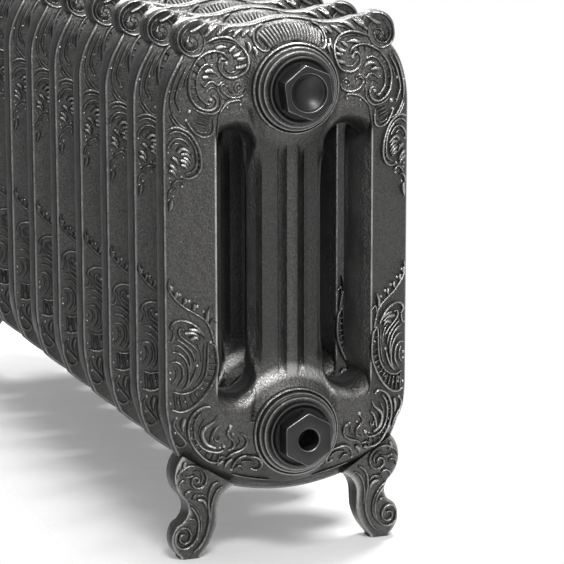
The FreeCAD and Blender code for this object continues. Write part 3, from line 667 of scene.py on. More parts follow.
LADDER_SCROLL = (
    (BOLD, (55, 438), (58, 442), (63, 444.5), (68, 445), (75, 443.5), (81, 440), (86, 435), (90, 428),
     (92, 420), (92, 412), (90, 405), (85, 399.5), (78, 397), (72, 399), (69.5, 404), (71, 408),
     (73.5, 409)),
    (LINE, (71, 433), (75, 434.5), (79, 433), (82, 430), (85, 424), (86, 417), (85, 410), (82, 405.5),
     (78, 402), (75, 403)),
    (LINE, (66.5, 408), (66, 402), (68, 397.5), (72, 394.5), (77, 394), (84, 395.5), (89, 398.5)),
    (LEAF, (78, 428.5), (74, 429.5), (69, 428), (66, 424.5)),
    (LEAF, (80, 424), (76, 424.5), (72, 423)),
)

WAVES = (
    (LINE, (58, 418.5), (60, 419.5), (64, 419.5), (67, 417), (71, 420), (75, 420), (79, 416.5),
     (82, 419.5)),
    (FINE, (68, 413), (71, 415.5), (75, 415), (79, 411.5)),
    (LINE, (43, 413), (45, 409), (50, 406.5), (55, 406.5), (60, 408.5), (64, 412.5), (65, 416),
     (62, 418), (59, 416)),
    (LINE, (46, 415.5), (49, 417.5), (52, 415.5), (52, 412), (48.5, 411)),
    (FINE, (67, 418), (67.5, 412), (64, 407), (60, 404.8)),
    (FINE, (54, 410), (57, 412), (58.5, 414.5)),
    (LINE, (47, 401), (48.5, 404), (54, 404), (59, 402.8), (63, 400), (67, 395.5), (69.5, 390)),
)

EAR_SCROLLS = (
    (LINE, (78, 471.2), (86, 470.3), (92, 467.2), (96.3, 462.5), (98.3, 457), (98, 451), (95.3, 446),
     (90.8, 442.8), (86, 441.4), (81, 442.4), (77.2, 445.8), (75, 450.5), (74.8, 455.5), (76.3, 459.8),
     (79, 462.6)),
    (FINE, (88, 464.5), (92, 461), (94.6, 456.5), (95.2, 452.5), (93.8, 449), (90.9, 446.2),
     (86.8, 445.1), (82.9, 446.5), (80.5, 449.6), (80, 453.2), (81.4, 456.3), (84.2, 457.4),
     (86.8, 456), (87.2, 453.6), (85.6, 452.5)),
    (LEAF, (86.5, 461.4), (81.5, 463.2), (76.5, 466.3), (72, 469)),
    (FINE, (74.6, 469.5), (77.5, 467.4), (80, 464.8)),
    (FINE, (64, 467.6), (68.5, 465), (71.8, 460.5), (73.2, 455.5)),
)

EAR_EYE = (87.3, 451.3)


def ear_rib(angle):
    """A rung that radiates from the eye of the volute."""
    turn = math.radians(angle)
    return (RUNG, *((EAR_EYE[0] + radius * math.cos(turn), EAR_EYE[1] + radius * math.sin(turn))
                    for radius in (2.4, 3.8, 5.2)))


EAR_RIBS = tuple(ear_rib(angle) for angle in range(-190, 50, 24))

EDGE_LINES = (
    (LINE, (95, 437), (98, 432), (101.5, 425), (104.8, 415), (106.6, 405), (106, 396)),
    (LINE, (91, 435.8), (94, 431), (98, 423), (101, 414), (102.3, 405), (98, 394)),
    (FINE, (87, 434), (90.5, 429.5), (94.3, 423), (96, 416)),
)

FAN = (
    (RUNG, (75, 391.5), (84, 394)),
    (RUNG, (76, 388.5), (86, 391)),
    (RUNG, (78, 385), (88, 388)),
    (RUNG, (79, 382.5), (90, 386)),
    (LINE, (74, 390), (73.2, 383), (74.5, 377), (80, 374.3), (86, 376), (90, 380), (93, 385),
     (94.5, 388)),
    (FINE, (77, 380), (80, 378), (85, 379), (88.5, 382)),
    (LINE, (92, 380.5), (98, 383), (102, 388), (106, 395)),
    (LINE, (98, 381), (103, 385), (107, 392)),
)

COMMA = (
    (BOLD, (110, 380), (104, 382.5), (98, 381), (92, 377), (88, 371), (85, 364), (83.5, 357),
     (83.5, 349), (85.5, 344), (89, 340.5), (94, 338.8), (98, 340)),
    (LINE, (109, 375), (106, 378), (101, 378.7), (95, 375.5), (90.5, 370), (87.8, 364), (86.8, 357),
     (87, 350), (89, 346), (92.5, 343.5), (96, 343)),
    (LINE, (92, 366), (96, 371), (101, 373), (105, 371.5), (108.5, 366.5), (109, 362)),
    (FINE, (98, 366.5), (101, 369), (105, 367.5), (106.5, 364)),
    (LEAF, (101.5, 361), (99, 364), (95, 363), (90.5, 359)),
    (LEAF, (99, 359.5), (95, 359.5), (91, 355)),
    (LEAF, (97.5, 356.5), (95, 355.5), (91.5, 351)),
    (LEAF, (99.5, 354.5), (96, 353), (92.5, 348.5)),
    (LEAF, (99, 350.5), (96, 349.5), (94, 346.5)),
    (LEAF, (106, 357), (102.5, 354), (101, 350)),
    (LEAF, (108, 350.5), (104, 347), (102, 342.5)),
    (LEAF, (108.5, 345.5), (105, 344), (102.5, 339.5)),
    (LINE, (96.5, 334), (99, 337), (102, 337), (105, 334.5), (106.5, 331.5)),
    (LINE, (103, 330), (106, 330), (108.3, 327), (109, 322)),
    (LEAF, (106.8, 320.5), (107, 316), (108.5, 310)),
)

CREST_LEAVES = (
    (LEAF, (62.8, 457.6), (58.5, 461), (53.5, 463.6), (47.2, 464.6)),
    (LEAF, (69.6, 460.2), (66, 463.2), (61.5, 465.9)),
    (LEAF, (74.2, 457), (70.8, 459.8), (68, 463.2), (64.5, 466.4)),
    (LEAF, (49, 455.5), (45.5, 458.8), (40.5, 461.6)),
    (LEAF, (40.8, 456), (37.5, 459), (33.8, 460.8)),
    (LEAF, (35, 456), (32.8, 459.8), (29, 462.6)),
    (FINE, (56.5, 457.5), (52, 460), (47, 461.2)),
    (FINE, (57, 465.8), (50, 467), (44, 466.2)),
)

CREST_LIP = ((FINE, (1, 470.6), (11, 469.8), (21, 467.6), (31, 465.1), (41.5, 464.3), (52, 465.1),
              (62, 467.7), (70, 470.4)),)

SHELL_CURLS = (
    (LINE, (22.5, 465.5), (28, 463), (31.8, 458), (32.6, 451.5), (30.3, 446.3), (26.3, 444.4),
     (23, 446), (23, 449), (25.3, 449.8)),
    (LINE, (25.5, 461.3), (28.8, 457.5), (29.6, 452.5), (28, 448.8)),
    (FINE, (0.6, 452.3), (8, 451.6), (15, 449.4), (21, 446)),
    (LEAF, (34.5, 447.5), (33, 443.5), (34, 439.8)),
    (LEAF, (37.5, 451), (37, 446.5), (38.5, 442)),
)

SPRAY = (
    (LINE, (108.5, 252), (109.5, 246), (108, 240), (104, 234), (98, 228), (90.5, 223), (83, 218),
     (79, 213.5), (76.5, 207), (75, 201), (74, 197)),
    (LEAF, (79.5, 216), (79.5, 222), (77, 228)),
    (LINE, (72, 214.5), (74.5, 217.5), (76.5, 215.5), (77, 211)),
    (LEAF, (104, 241), (103.5, 238), (105.5, 235)),
    (LEAF, (97, 235.5), (96.5, 232.5), (98.5, 229.5)),
    (LEAF, (90, 230.5), (89.5, 227), (91.5, 224)),
    (LEAF, (109, 246.5), (107.5, 243), (109.5, 240)),
)

CARTOUCHE = (
    (BOLD, (76, 196), (73, 193), (72, 186), (71.5, 178), (72.5, 170), (75, 163), (79, 155),
     (84, 147.5), (90, 141), (96, 137), (102, 135.5), (108, 137.5)),
    (LINE, (78.5, 197), (79, 188), (79.3, 179), (80.5, 170), (83.5, 162.5), (88, 157), (94, 153),
     (101, 151.5), (107, 153.5)),
    (FINE, (82, 195), (82, 185), (82.5, 176), (84.5, 167.5), (88.5, 161.5)),
    (BOLD, (80.5, 200), (84, 206), (89, 211.5), (95, 215), (101, 216), (106, 214), (108, 209.5),
     (105.5, 206)),
    (LINE, (106, 206), (106, 201), (108, 197), (110.5, 197.5)),
    (LINE, (87, 189), (91, 194), (97, 199), (101, 203), (101.8, 207), (100, 209.5), (97.5, 208)),
    (LINE, (89.5, 180), (91.5, 188), (97, 194.5), (103.5, 199.5)),
    (LINE, (93, 170), (93, 180), (96, 188), (101.5, 193.5), (106, 195)),
    (LEAF, (94, 208.5), (88, 207.5), (83.5, 203.5)),
    (LEAF, (97.5, 205), (90.5, 205), (85, 201.5)),
    (LEAF, (93, 199.5), (89, 201.5), (85.5, 198)),
    (FINE, (84.5, 180), (84.5, 188), (87, 195), (90, 197.5)),
    (LINE, (88, 175), (90, 168), (94, 160), (99, 155.5)),
    (LINE, (103, 158), (99, 164.5), (98.8, 172), (100.5, 177), (104.5, 180), (108.5, 179)),
    (FINE, (108, 160), (104, 165.5), (103.8, 171.5), (106, 175.5)),
    (LINE, (97, 156), (94.3, 165), (94.5, 175), (97.3, 182.5), (102, 187.3), (106.5, 188)),
    (FINE, (104, 149), (103, 144.5), (105, 140.5)),
)

LADDER_FOOT = (
    (BOLD, (76, 138), (79, 140.8), (84, 139.5), (89, 136), (92.5, 131), (94.6, 125), (95, 117),
     (93.5, 110), (90, 103), (86, 97.5), (82, 93.5), (77, 90.5), (70, 89.5)),
    (LINE, (84, 135.5), (88, 130.5), (90, 124), (90, 116), (88, 109), (84, 103.7), (79, 101),
     (73, 99.8), (68, 100.5), (65.5, 103.5), (67.5, 106)),
    (LEAF, (74, 104), (80, 106.5), (83.5, 112), (84, 118), (80, 123), (75, 127), (72, 132.5)),
    (FINE, (82, 129), (85.5, 122), (86.5, 115)),
    (BOLD, (70.5, 123.5), (74, 120), (76.5, 114), (77.5, 107.5)),
    (LINE, (70.5, 114), (71, 110.5), (73.5, 110), (74.5, 113)),
    (LEAF, (98, 130), (99.5, 124), (99, 117)),
)

KNOT = (
    (BOLD, (60, 121), (63, 117), (61, 112.5), (58, 109.5), (57, 105.5), (58.5, 102), (62.5, 101)),
    (BOLD, (51, 115), (46.5, 112), (45, 107), (47, 102), (52, 99), (58.5, 97), (63, 93)),
    (FINE, (52.5, 111.5), (51.3, 107), (54, 103), (58, 101)),
    (LINE, (64, 94), (68, 95.5), (71.5, 91.5)),
)

KEEL_SCROLL = (
    (BOLD, (38, 79), (34, 78), (31, 80.5), (31, 86), (34.5, 90.5), (40, 92), (46, 93.5), (51, 92),
     (55, 87), (56.5, 81.5)),
    (LINE, (46, 79.5), (47.5, 83.5), (51, 84), (53.5, 80.5)),
    (FINE, (36, 83), (38, 86.5), (43, 88), (48, 88)),
    (LEAF, (58, 92), (62, 88), (63, 83)),
    (LEAF, (66, 91), (69.5, 88.5), (71, 86.5)),
)

EDGE_HOOK = (
    (LINE, (104.5, 129), (106.8, 125.5), (105, 119.5), (101, 114), (97.3, 108.5), (98, 104),
     (101, 102.3), (103, 105)),
    (FINE, (109, 128), (110, 121), (108, 114)),
)

RIM_LINE = ((FINE, (20, 67.3), (26, 67.6), (33, 68.6), (40, 70.4), (47, 72.6), (54, 75.2)),)

FOOT_SCROLLS = (
    (BOLD, (66, 69.2), (70, 67.4), (73, 63.2), (74.8, 57), (75, 49), (74, 41), (73.8, 33), (75, 25),
     (78, 17), (82.3, 10.6), (87.5, 6.6)),
    (LINE, (62.5, 64.8), (67.2, 61.2), (70.4, 55), (72, 48), (72.3, 41), (72, 34)),
    (BOLD, (86, 70), (83.8, 71.2), (84.3, 74), (87, 75.2), (89.8, 73.6), (90.4, 70), (88.2, 66.7),
     (84.6, 65.2), (80.6, 65.8), (77.6, 69), (76.6, 74), (78.3, 79.4), (82.5, 83.6), (87.5, 85.6),
     (93, 85.7), (99, 83), (103.6, 78), (105.6, 72.5), (105.6, 67), (103.6, 61.5), (100, 56.3),
     (95, 51.6), (90, 47), (86, 41.6), (83.7, 35), (83.3, 28), (84.3, 21.5), (87.3, 15.3),
     (91.4, 11.6), (96, 10.2),
     (100.4, 11.6), (103.6, 15.2), (104.8, 20), (104, 25), (101.2, 28.4), (97.2, 29.6), (93.4, 28.4),
     (90.9, 25), (90.4, 20.6), (92, 16.8), (95.2, 14.9), (98.6, 15.8), (100.5, 18.8), (100, 22.2),
     (97.4, 23.8), (95, 22.6)),
    (LINE, (95.5, 70), (95.8, 72.2), (98.6, 73.6), (101.6, 71), (102.9, 66.6), (102, 62), (98.6, 57.4),
     (93.4, 53), (88, 48.4), (84, 42.6), (81.5, 35.6), (81, 28.6), (82.2, 22), (85, 16.8), (88, 13.2)),
    (LINE, (82.5, 69.5), (80.7, 72.5), (80.8, 76), (83, 79), (86.4, 80.6), (89, 80.2)),
    (LINE, (87, 77.6), (90.4, 76.4), (94.2, 76), (97.4, 77), (98.6, 79)),
    (BOLD, (88.2, 61.8), (90.8, 63.6), (94, 63), (96.6, 60.6), (96.6, 57.6)),
    (LINE, (85.8, 60.2), (88.4, 58.4), (90, 55)),
    (LINE, (76.4, 54), (78.8, 57.8), (82.4, 59), (86, 58.2), (88, 56.2)),
    (LEAF, (85, 54.5), (81, 53.8), (78, 50.5), (76.4, 45)),
    (LEAF, (97, 34.6), (95.2, 38.4), (91.4, 40.8)),
    (LINE, (85.2, 33.4), (88, 36.8), (91.4, 37.6), (94.6, 36), (97.4, 33)),
    (LINE, (104, 31), (100.4, 34.6), (98.4, 39)),
    (LEAF, (96, 89.5), (97.4, 85.6), (94.6, 81.8)),
)

# Rungs: short bars across the ladders, from one end to the other.
RUNGS = (
    (58.5, 438.7, 57, 442), (64, 439.5, 63.8, 445), (69.5, 439, 70.5, 444.8),
    (75.5, 437, 77.5, 442.8), (80.5, 432.5, 84.5, 436.5), (83.5, 428, 88.5, 430.5),
    (85.5, 423, 91, 424.5), (86.2, 416.5, 92, 416.5), (85.5, 410, 91, 408.5), (82.3, 405, 87.5, 402),
    (78.5, 402, 79.5, 397.5),
    (83.5, 351, 87, 351), (83.5, 356, 87.3, 356), (84.5, 361.5, 88, 360.5), (86.5, 367, 89.5, 365.5),
    (89.5, 372, 92.3, 370.2), (84.5, 346.5, 88, 347.5),
    (72.3, 189.5, 79, 189), (72, 184, 79, 183.7), (71.7, 178, 79.3, 178), (72.2, 172, 80, 173),
    (73.8, 166.5, 81, 168), (76, 161.5, 83, 164), (79.3, 156, 85, 160), (82.5, 151, 88.5, 157),
    (86, 146.5, 91, 154.8), (90, 142, 94, 153.3), (94.5, 139, 97.5, 152.3), (99.5, 137, 101.5, 151.7),
    (104.5, 137.5, 105.5, 152.5),
    (90, 123.5, 94.6, 124.5), (90.2, 118, 94.8, 118), (89, 112, 93.7, 111), (86.8, 107.5, 91.3, 105.5),
    (83.5, 103.3, 87.5, 99.7), (79, 101, 82.3, 94.3), (74.5, 99.8, 76.5, 91), (70, 99.8, 70.5, 90),
    (88.7, 128.5, 93, 130),
)

# Beads: distance from the middle, height, radius.
BEADS = (
    (57.5, 434.5, 2.4), (74.5, 405.5, 2.2), (71, 433, 2), (49, 413.8, 1.6), (59.2, 416, 1.5),
    (48.5, 400.3, 1.5), (60.5, 398.7, 1.6), (107, 412.5, 1.3), (99, 415, 1.4), (92, 396, 2.6),
    (99, 396, 1.6), (94.5, 388.3, 1.7), (107.5, 339, 1.4), (107, 335.8, 1.3), (108.5, 361, 1.4),
    (98, 332, 1.6), (105, 323.5, 1.3), (108.2, 320.5, 1.2), (98.5, 340.3, 1.6),
    (106.5, 244.5, 1.8), (100.5, 238.5, 1.8), (93.2, 233, 1.8), (86.8, 228.5, 1.8), (82, 224, 1.5),
    (76.5, 197.2, 1.6), (87.5, 176.5, 1.7), (108.5, 170, 1.5), (108.5, 164.5, 1.3), (108.5, 143, 1.4),
    (75.5, 178, 1.1), (76, 171.5, 1.1), (75.6, 184.5, 1.1), (76.6, 166, 1.1), (79.5, 161.3, 1.1),
    (83.5, 156.5, 1.1), (88, 151, 1.1), (92, 147, 1.1), (97, 144.5, 1.1), (102.5, 144, 1.1),
    (66, 105, 2.2), (69.5, 103.5, 1.2), (60, 122, 2.1), (58, 114.8, 1.7), (104, 130, 1.7),
    (105, 117, 1.3), (108, 115, 1.3), (37.5, 79.5, 1.7), (56.5, 81, 1.6), (92, 112.3, 1),
    (92.4, 121, 1), (88.5, 103.5, 1), (85, 101, 1), (80.3, 97.3, 1), (75.3, 95.3, 1),
)


def border_of(outline):
    """An outline, and a search tree over closely spaced points of it."""
    points = [a.lerp(b, step / 5) for a, b in zip(outline, outline[1:]) for step in range(5)]
    tree = KDTree(len(points))
    for index, point in enumerate(points):
        tree.insert((point.x, point.y, 0), index)
    tree.balance()
    return outline, tree


def kept_inside(border, place):
    """Distance from the border, and the place itself or the nearest one on the border."""
    y, z = place
    on_ear = EAR[2] - math.hypot(y - EAR[0], z - EAR[1])
    if on_ear > 0:
        return on_ear + 2, place
    outline, tree = border
    crossings = sum((a.y > z) != (b.y > z) and y < a.x + (b.x - a.x) * (z - a.y) / (b.y - a.y)
                    for a, b in zip(outline, outline[1:] + outline[:1]))
    nearest, _, distance = tree.find((y, z, 0))
    return (distance, place) if crossings % 2 else (0, nearest.xy)


def ground(y, z, on_foot):
    """Height of the surface that an ornament stands on."""
    if on_foot:
        return foot_height(z)
    return max(face_height(y, z), ear_height(y, z))


def drawn(point):
    """A drawn point, moved with its hub."""
    y, z = point
    upper = z > (DRAWN_LOWER + DRAWN_UPPER) / 2
    return Vector((y, z + (UPPER_HUB - DRAWN_UPPER if upper else LOWER_HUB - DRAWN_LOWER)))


SPACING = 2.1    # between the rings of a stroke
# Section of a stroke: place across its width, height, and wear with painted light: a polished top that
# is partly a painted highlight, and painted shade at its foot where it meets the ground.
STROKE_SECTION = ((-0.5, -0.7, -0.5), (-0.3, 0.72, 0.35), (0, 1, 0.9), (0.3, 0.72, 0.35),
                  (0.5, -0.7, -0.5))


def smooth_way(points):
    """Evenly spaced points on the smooth curve through a stroke's points."""
    ends = [points[0] * 2 - points[1], *points, points[-1] * 2 - points[-2]]
    fine = [points[0]]
    for a, b, c, d in zip(ends, ends[1:], ends[2:], ends[3:]):
        for step in range(1, 9):
            t = step / 8
            fine.append(0.5 * (2 * b + (c - a) * t + (2 * a - 5 * b + 4 * c - d) * t ** 2
                               + (3 * b - a - 3 * c + d) * t ** 3))
    lengths = [0]
    for a, b in zip(fine, fine[1:]):
        lengths.append(lengths[-1] + (b - a).length)
    count = max(3, round(lengths[-1] / SPACING))
    way, at = [], 0
    for index in range(count + 1):
        wanted = lengths[-1] * index / count
        while at < len(fine) - 2 and lengths[at + 1] < wanted:
            at += 1
        part = (wanted - lengths[at]) / max(1e-9, lengths[at + 1] - lengths[at])
        way.append(fine[at].lerp(fine[at + 1], part))
    return way


def stroke_rings(kind, points, on_foot, border):
    """Rings of points round a raised stroke's section. It sinks in at the border."""
    width, height = kind
    way = smooth_way([drawn(point) for point in points])
    last = len(way) - 1
    rings = []
    for index, spot in enumerate(way):
        share = index / last
        heading = (way[min(last, index + 1)] - way[max(0, index - 1)]).normalized()
        aside = Vector((-heading.y, heading.x))
        if kind is LEAF:
            swell = 0.3 + 0.95 * math.sin(math.pi * (0.16 + 0.84 * share) ** 0.8)
        else:
            swell = 0.55 + 0.45 * smooth_step(min(share, 1 - share) * last, 0, 2.2)
        ring = []
        for offset, rise, _ in STROKE_SECTION:
            lift = rise * height * (0.45 + 0.55 * swell) if rise > 0 else rise
            inside, place = kept_inside(border, spot + aside * offset * width * swell)
            lift *= smooth_step(inside, 0, 2.6)
            lift -= 3 * (1 - smooth_step(inside, 0, 3))
            ring.append(Vector((ground(*place, on_foot) + lift, *place)))
        rings.append(ring)
    return rings


def make_relief(strokes, on_foot=False):
    """Raised strokes, one quarter. Those of equal length are drawn out together."""
    whole = new_shape()
    if on_foot:
        inner, outer = foot_sides()
        border = border_of([Vector((40, 100)), *inner, *outer[::-1]])
    else:
        border = border_of([*outer_outline(), Vector((-9, CREST)), Vector((-9, BELLY))])
    by_length = {}
    for kind, *points in strokes:
        rings = stroke_rings(kind, points, on_foot, border)
        by_length.setdefault(len(rings), []).append(rings)
    section = len(STROKE_SECTION)
    for group in by_length.values():
        shape = new_shape()
        rows = [list(chain.from_iterable(rings)) for rings in zip(*group)]
        loft(shape, rows, ring=section)
        worn_and_lit = shape.verts.layers.float["wear_and_light"]
        place = shape.verts.layers.int["place"]
        # Each vertex takes the polish, partly a painted highlight, or the painted shade of its place in
        # the section
        for vertex in shape.verts:
            vertex[worn_and_lit] = STROKE_SECTION[vertex[place] % section][-1]
        bmesh.ops.holes_fill(shape, edges=open_edges(shape), sides=0)
        bmesh.ops.recalc_face_normals(shape, faces=shape.faces)
        add_to(whole, shape)
    return whole


def make_beads():
    """Round beads, one quarter. One that would overhang the casting's outline is left out."""
    whole = new_shape()
    border = border_of(outer_outline())
    worn_and_lit = whole.verts.layers.float["wear_and_light"]
    for y, z, radius in BEADS:
        spot = drawn((y, z))
        inside, _ = kept_inside(border, spot)
        if inside < radius + 1.5:
            continue
        seat = Matrix.Translation((ground(*spot, on_foot=False), *spot))
        size = Matrix.Diagonal((radius * 1.15, radius, radius, 1))
        made = bmesh.ops.create_uvsphere(whole, u_segments=8, v_segments=5, radius=1,
                                         matrix=seat @ size @ Matrix.Rotation(math.pi / 2, 4, "Y"))
        # Beads are polished all over, partly a painted highlight
        for vertex in made["verts"]:
            vertex[worn_and_lit] = 1
    return whole


def make_ornament():
    """All scrollwork of a casting, on its four quarters."""
    strokes = (CREST_SCROLL, LADDER_SCROLL, WAVES, EAR_SCROLLS, EAR_RIBS, EDGE_LINES, FAN, COMMA,
               CREST_LEAVES, CREST_LIP, SHELL_CURLS, SPRAY, CARTOUCHE, LADDER_FOOT, KNOT,
               KEEL_SCROLL, EDGE_HOOK, RIM_LINE)
    rungs = ((RUNG, (a, b), (c, d)) for a, b, c, d in RUNGS)
    shape = make_relief(chain(*strokes, rungs))
    add_to(shape, make_beads())
    return repeated(shape)


# ---------------------------------------------------------------- finishes
def node_group(name, inputs, outputs):
    """An empty shader node group with named sockets, and its input and output nodes."""
    group = bpy.data.node_groups.new(name, "ShaderNodeTree")
    for label, kind, value in inputs:
        socket = group.interface.new_socket(label, in_out="INPUT", socket_type="NodeSocket" + kind)
        socket.default_value = value
    for label, kind in outputs:
        group.interface.new_socket(label, in_out="OUTPUT", socket_type="NodeSocket" + kind)
    return group, group.nodes.new("NodeGroupInput"), group.nodes.new("NodeGroupOutput")


def node(tree, kind, settings=(), **inputs):
    """A shader node with its settings, and its sockets set or linked by name, or as _0 by place."""
    made = tree.nodes.new("ShaderNode" + kind)
    for name, value in dict(settings).items():
        setattr(made, name, value)
    for name, value in inputs.items():
        socket = made.inputs[int(name[1:]) if name[1:].isdigit() else name.replace("_", " ")]
        if isinstance(value, bpy.types.NodeSocket):
            tree.links.new(value, socket)
        else:
            socket.default_value = value
    return made


def noise(tree, scale):
    """Noise of so many waves to the metre, in Object coordinates."""
    where = node(tree, "TexCoord")
    return node(tree, "TexNoise", Vector=where.outputs["Object"], Scale=scale, Detail=3,
                Roughness=0.55).outputs["Fac"]


def ramp(tree, value, low, high, start=0.0, end=1.0):
    """Stretch values from low to high on to start to end, and hold them there."""
    return node(tree, "MapRange", {"clamp": True, "interpolation_type": "SMOOTHSTEP"}, Value=value,
                From_Min=low, From_Max=high, To_Min=start, To_Max=end).outputs["Result"]


def maths(tree, operation, a, b=0.0):
    """Result of an operation on two values."""
    return node(tree, "Math", {"operation": operation}, _0=a, _1=b).outputs["Value"]


def mixed(tree, share, a, b):
    """Mix of two colours."""
    return node(tree, "Mix", {"data_type": "RGBA"}, _0=share, _6=a, _7=b).outputs[2]


def sand_cast_group():
    """Skin of sand cast iron: grains of sand, shallow waves and a few pits."""
    group, given, out = node_group(
        "Sand Cast Skin",
        [("Grains", "Float", 700.0), ("Waves", "Float", 60.0), ("Pits", "Float", 0.35)],
        [("Height", "Float"), ("Mottle", "Float")])
    where = node(group, "TexCoord").outputs["Object"]
    grains = node(group, "TexNoise", Vector=where, Scale=given.outputs["Grains"], Detail=2.5,
                  Roughness=0.6).outputs["Fac"]
    waves = node(group, "TexNoise", Vector=where, Scale=given.outputs["Waves"],
                 Detail=2.0).outputs["Fac"]
    cells = node(group, "TexVoronoi", Vector=where, Scale=260.0).outputs["Distance"]
    pits = maths(group, "MULTIPLY", ramp(group, cells, 0.0, 0.22, 1.0, 0.0), given.outputs["Pits"])
    height = maths(group, "ADD", grains, maths(group, "MULTIPLY", waves, 1.6))
    height = maths(group, "SUBTRACT", height, pits)
    group.links.new(height, out.inputs["Height"])
    group.links.new(ramp(group, grains, 0.34, 0.66), out.inputs["Mottle"])
    return group


def wear_and_light_group():
    """Polish on raised edges, partly a painted highlight, and painted shade in hollows, from the value
    of wear and painted light that each vertex keeps.
    """
    group, given, out = node_group(
        "Wear and Painted Light",
        [("Metal", "Color", (0.2, 0.2, 0.2, 1)), ("Polish and Highlight", "Color", (0.4, 0.4, 0.4, 1)),
         ("Soot and Shade", "Color", (0.05, 0.05, 0.05, 1)), ("Mottle", "Float", 0.5),
         ("Rough", "Float", 0.4), ("Smooth", "Float", 0.25)],
        [("Color", "Color"), ("Roughness", "Float")])
    wear_and_light = node(group, "Attribute", {"attribute_name": "wear_and_light"}).outputs["Fac"]
    patches = noise(group, 34.0)
    # Share of polish: worn edges, and a painted highlight where the value was raised to brighten a
    # surface
    raised = maths(group, "MULTIPLY", ramp(group, wear_and_light, 0.15, 0.95),
                   ramp(group, patches, 0.25, 0.6, 0.55, 1.0))
    # Painted shade: the soot colour laid on where the value falls below zero
    hollow = ramp(group, wear_and_light, -0.05, -0.9)
    speckled = mixed(group, ramp(group, given.outputs["Mottle"], 0.0, 1.0, 0.0, 0.45),
                     given.outputs["Metal"], given.outputs["Soot and Shade"])
    worn_and_lit = mixed(group, raised, speckled, given.outputs["Polish and Highlight"])
    group.links.new(mixed(group, hollow, worn_and_lit, given.outputs["Soot and Shade"]), out.inputs["Color"])
    rough = node(group, "Mix", {"data_type": "FLOAT"}, _0=raised, _2=given.outputs["Rough"],
                 _3=given.outputs["Smooth"]).outputs[0]
    rough = maths(group, "ADD", rough, maths(group, "MULTIPLY", hollow, 0.18))
    rough = maths(group, "ADD", rough, ramp(group, patches, 0.3, 0.7, -0.05, 0.06))
    group.links.new(rough, out.inputs["Roughness"])
    return group


def iron_finish(name, colours, rough, smooth, grains, bump, pits=0.35, metallic=0.85, coat=0.25,
                depth=0.0006):
    """A finish from the two groups: colours of the metal, its polish, which also paints highlights, and
    its soot, which also paints shade in hollows, roughness of the skin and of worn edges, grains to the
    metre, and the strength and depth of their relief."""
    material = bpy.data.materials.new(name)
    material.use_nodes = True
    tree = material.node_tree
    shader = tree.nodes["Principled BSDF"]
    skin = tree.nodes.new("ShaderNodeGroup")
    skin.node_tree = bpy.data.node_groups["Sand Cast Skin"]
    skin.inputs["Grains"].default_value = grains
    skin.inputs["Pits"].default_value = pits
    worn_and_lit = tree.nodes.new("ShaderNodeGroup")
    worn_and_lit.node_tree = bpy.data.node_groups["Wear and Painted Light"]
    for label, colour in zip(("Metal", "Polish and Highlight", "Soot and Shade"), colours):
        worn_and_lit.inputs[label].default_value = (*colour, 1)
    worn_and_lit.inputs["Rough"].default_value = rough
    worn_and_lit.inputs["Smooth"].default_value = smooth
    tree.links.new(skin.outputs["Mottle"], worn_and_lit.inputs["Mottle"])
    relief = node(tree, "Bump", Strength=bump, Distance=depth, Height=skin.outputs["Height"])
    tree.links.new(worn_and_lit.outputs["Color"], shader.inputs["Base Color"])
    tree.links.new(worn_and_lit.outputs["Roughness"], shader.inputs["Roughness"])
    tree.links.new(relief.outputs["Normal"], shader.inputs["Normal"])
    shader.inputs["Metallic"].default_value = metallic
    shader.inputs["Coat Weight"].default_value = coat
    shader.inputs["Coat Roughness"].default_value = 0.3
    return material


# ---------------------------------------------------------------- plugs, bushes and the air vent
HEX_FLATS = 41.5     # width across the flats of a plug
SIDE_STEPS = 8       # points along one side of its hexagon
SPIGOT = 16          # length of the spigot behind the flange
SPIGOT_RADIUS = 20.1
PORT_RADIUS = 9.35
VENT_THREAD = 4.6    # radius of the hole for the air vent


def hex_point(x, radius, flats, turn, index):
    """A point at height x on a circle, cut to a hexagon of a width across flats unless that is 0."""
    angle = math.tau * index / (6 * SIDE_STEPS)
    if flats:
        from_flat = (angle + math.pi / 6) % (math.pi / 3) - math.pi / 6
        radius = min(radius, flats / 2 / math.cos(from_flat))
    return Vector((x, radius * math.cos(angle + turn), radius * math.sin(angle + turn)))


def plug_rows(hollow):
    """Rows of a plug from the end of its spigot over its hexagon and into the hollow: height above the
    foot of the flange, radius, width across flats, and wear with painted light: polish on edges, partly
    a painted highlight, and painted shade where the hexagon meets the flange and down the hollows."""
    top = PLUG_END - PLUG_FOOT
    corner = HEX_FLATS / 2 / math.cos(math.pi / 6)
    outside = [
        (-SPIGOT, SPIGOT_RADIUS, 0, 0), (0, SPIGOT_RADIUS, 0, 0), (0, 28.2, 0, -0.8),
        (0.4, 28.8, 0, -0.5),
        (3.2, 29, 0, -0.2), (4.2, 28.6, 0, 0.4), (4.6, 27.8, 0, 0.3), (4.5, 26.8, 0, 0),
        (3.8, 25.6, 0, -0.3), (3.4, 24.7, 0, -0.6), (3.5, corner - 0.2, 0, -0.7),
        (3.8, corner - 0.3, HEX_FLATS, -0.7), (6.4, corner - 0.3, HEX_FLATS, -0.3),
        (top - 1, corner - 0.3, HEX_FLATS, 0), (top - 0.7, corner - 0.45, HEX_FLATS - 0.1, 0.8),
        (top - 0.25, corner - 0.9, HEX_FLATS - 0.7, 1), (top, corner - 1.5, HEX_FLATS - 1.5, 0),
    ]
    return outside + hollow(top)


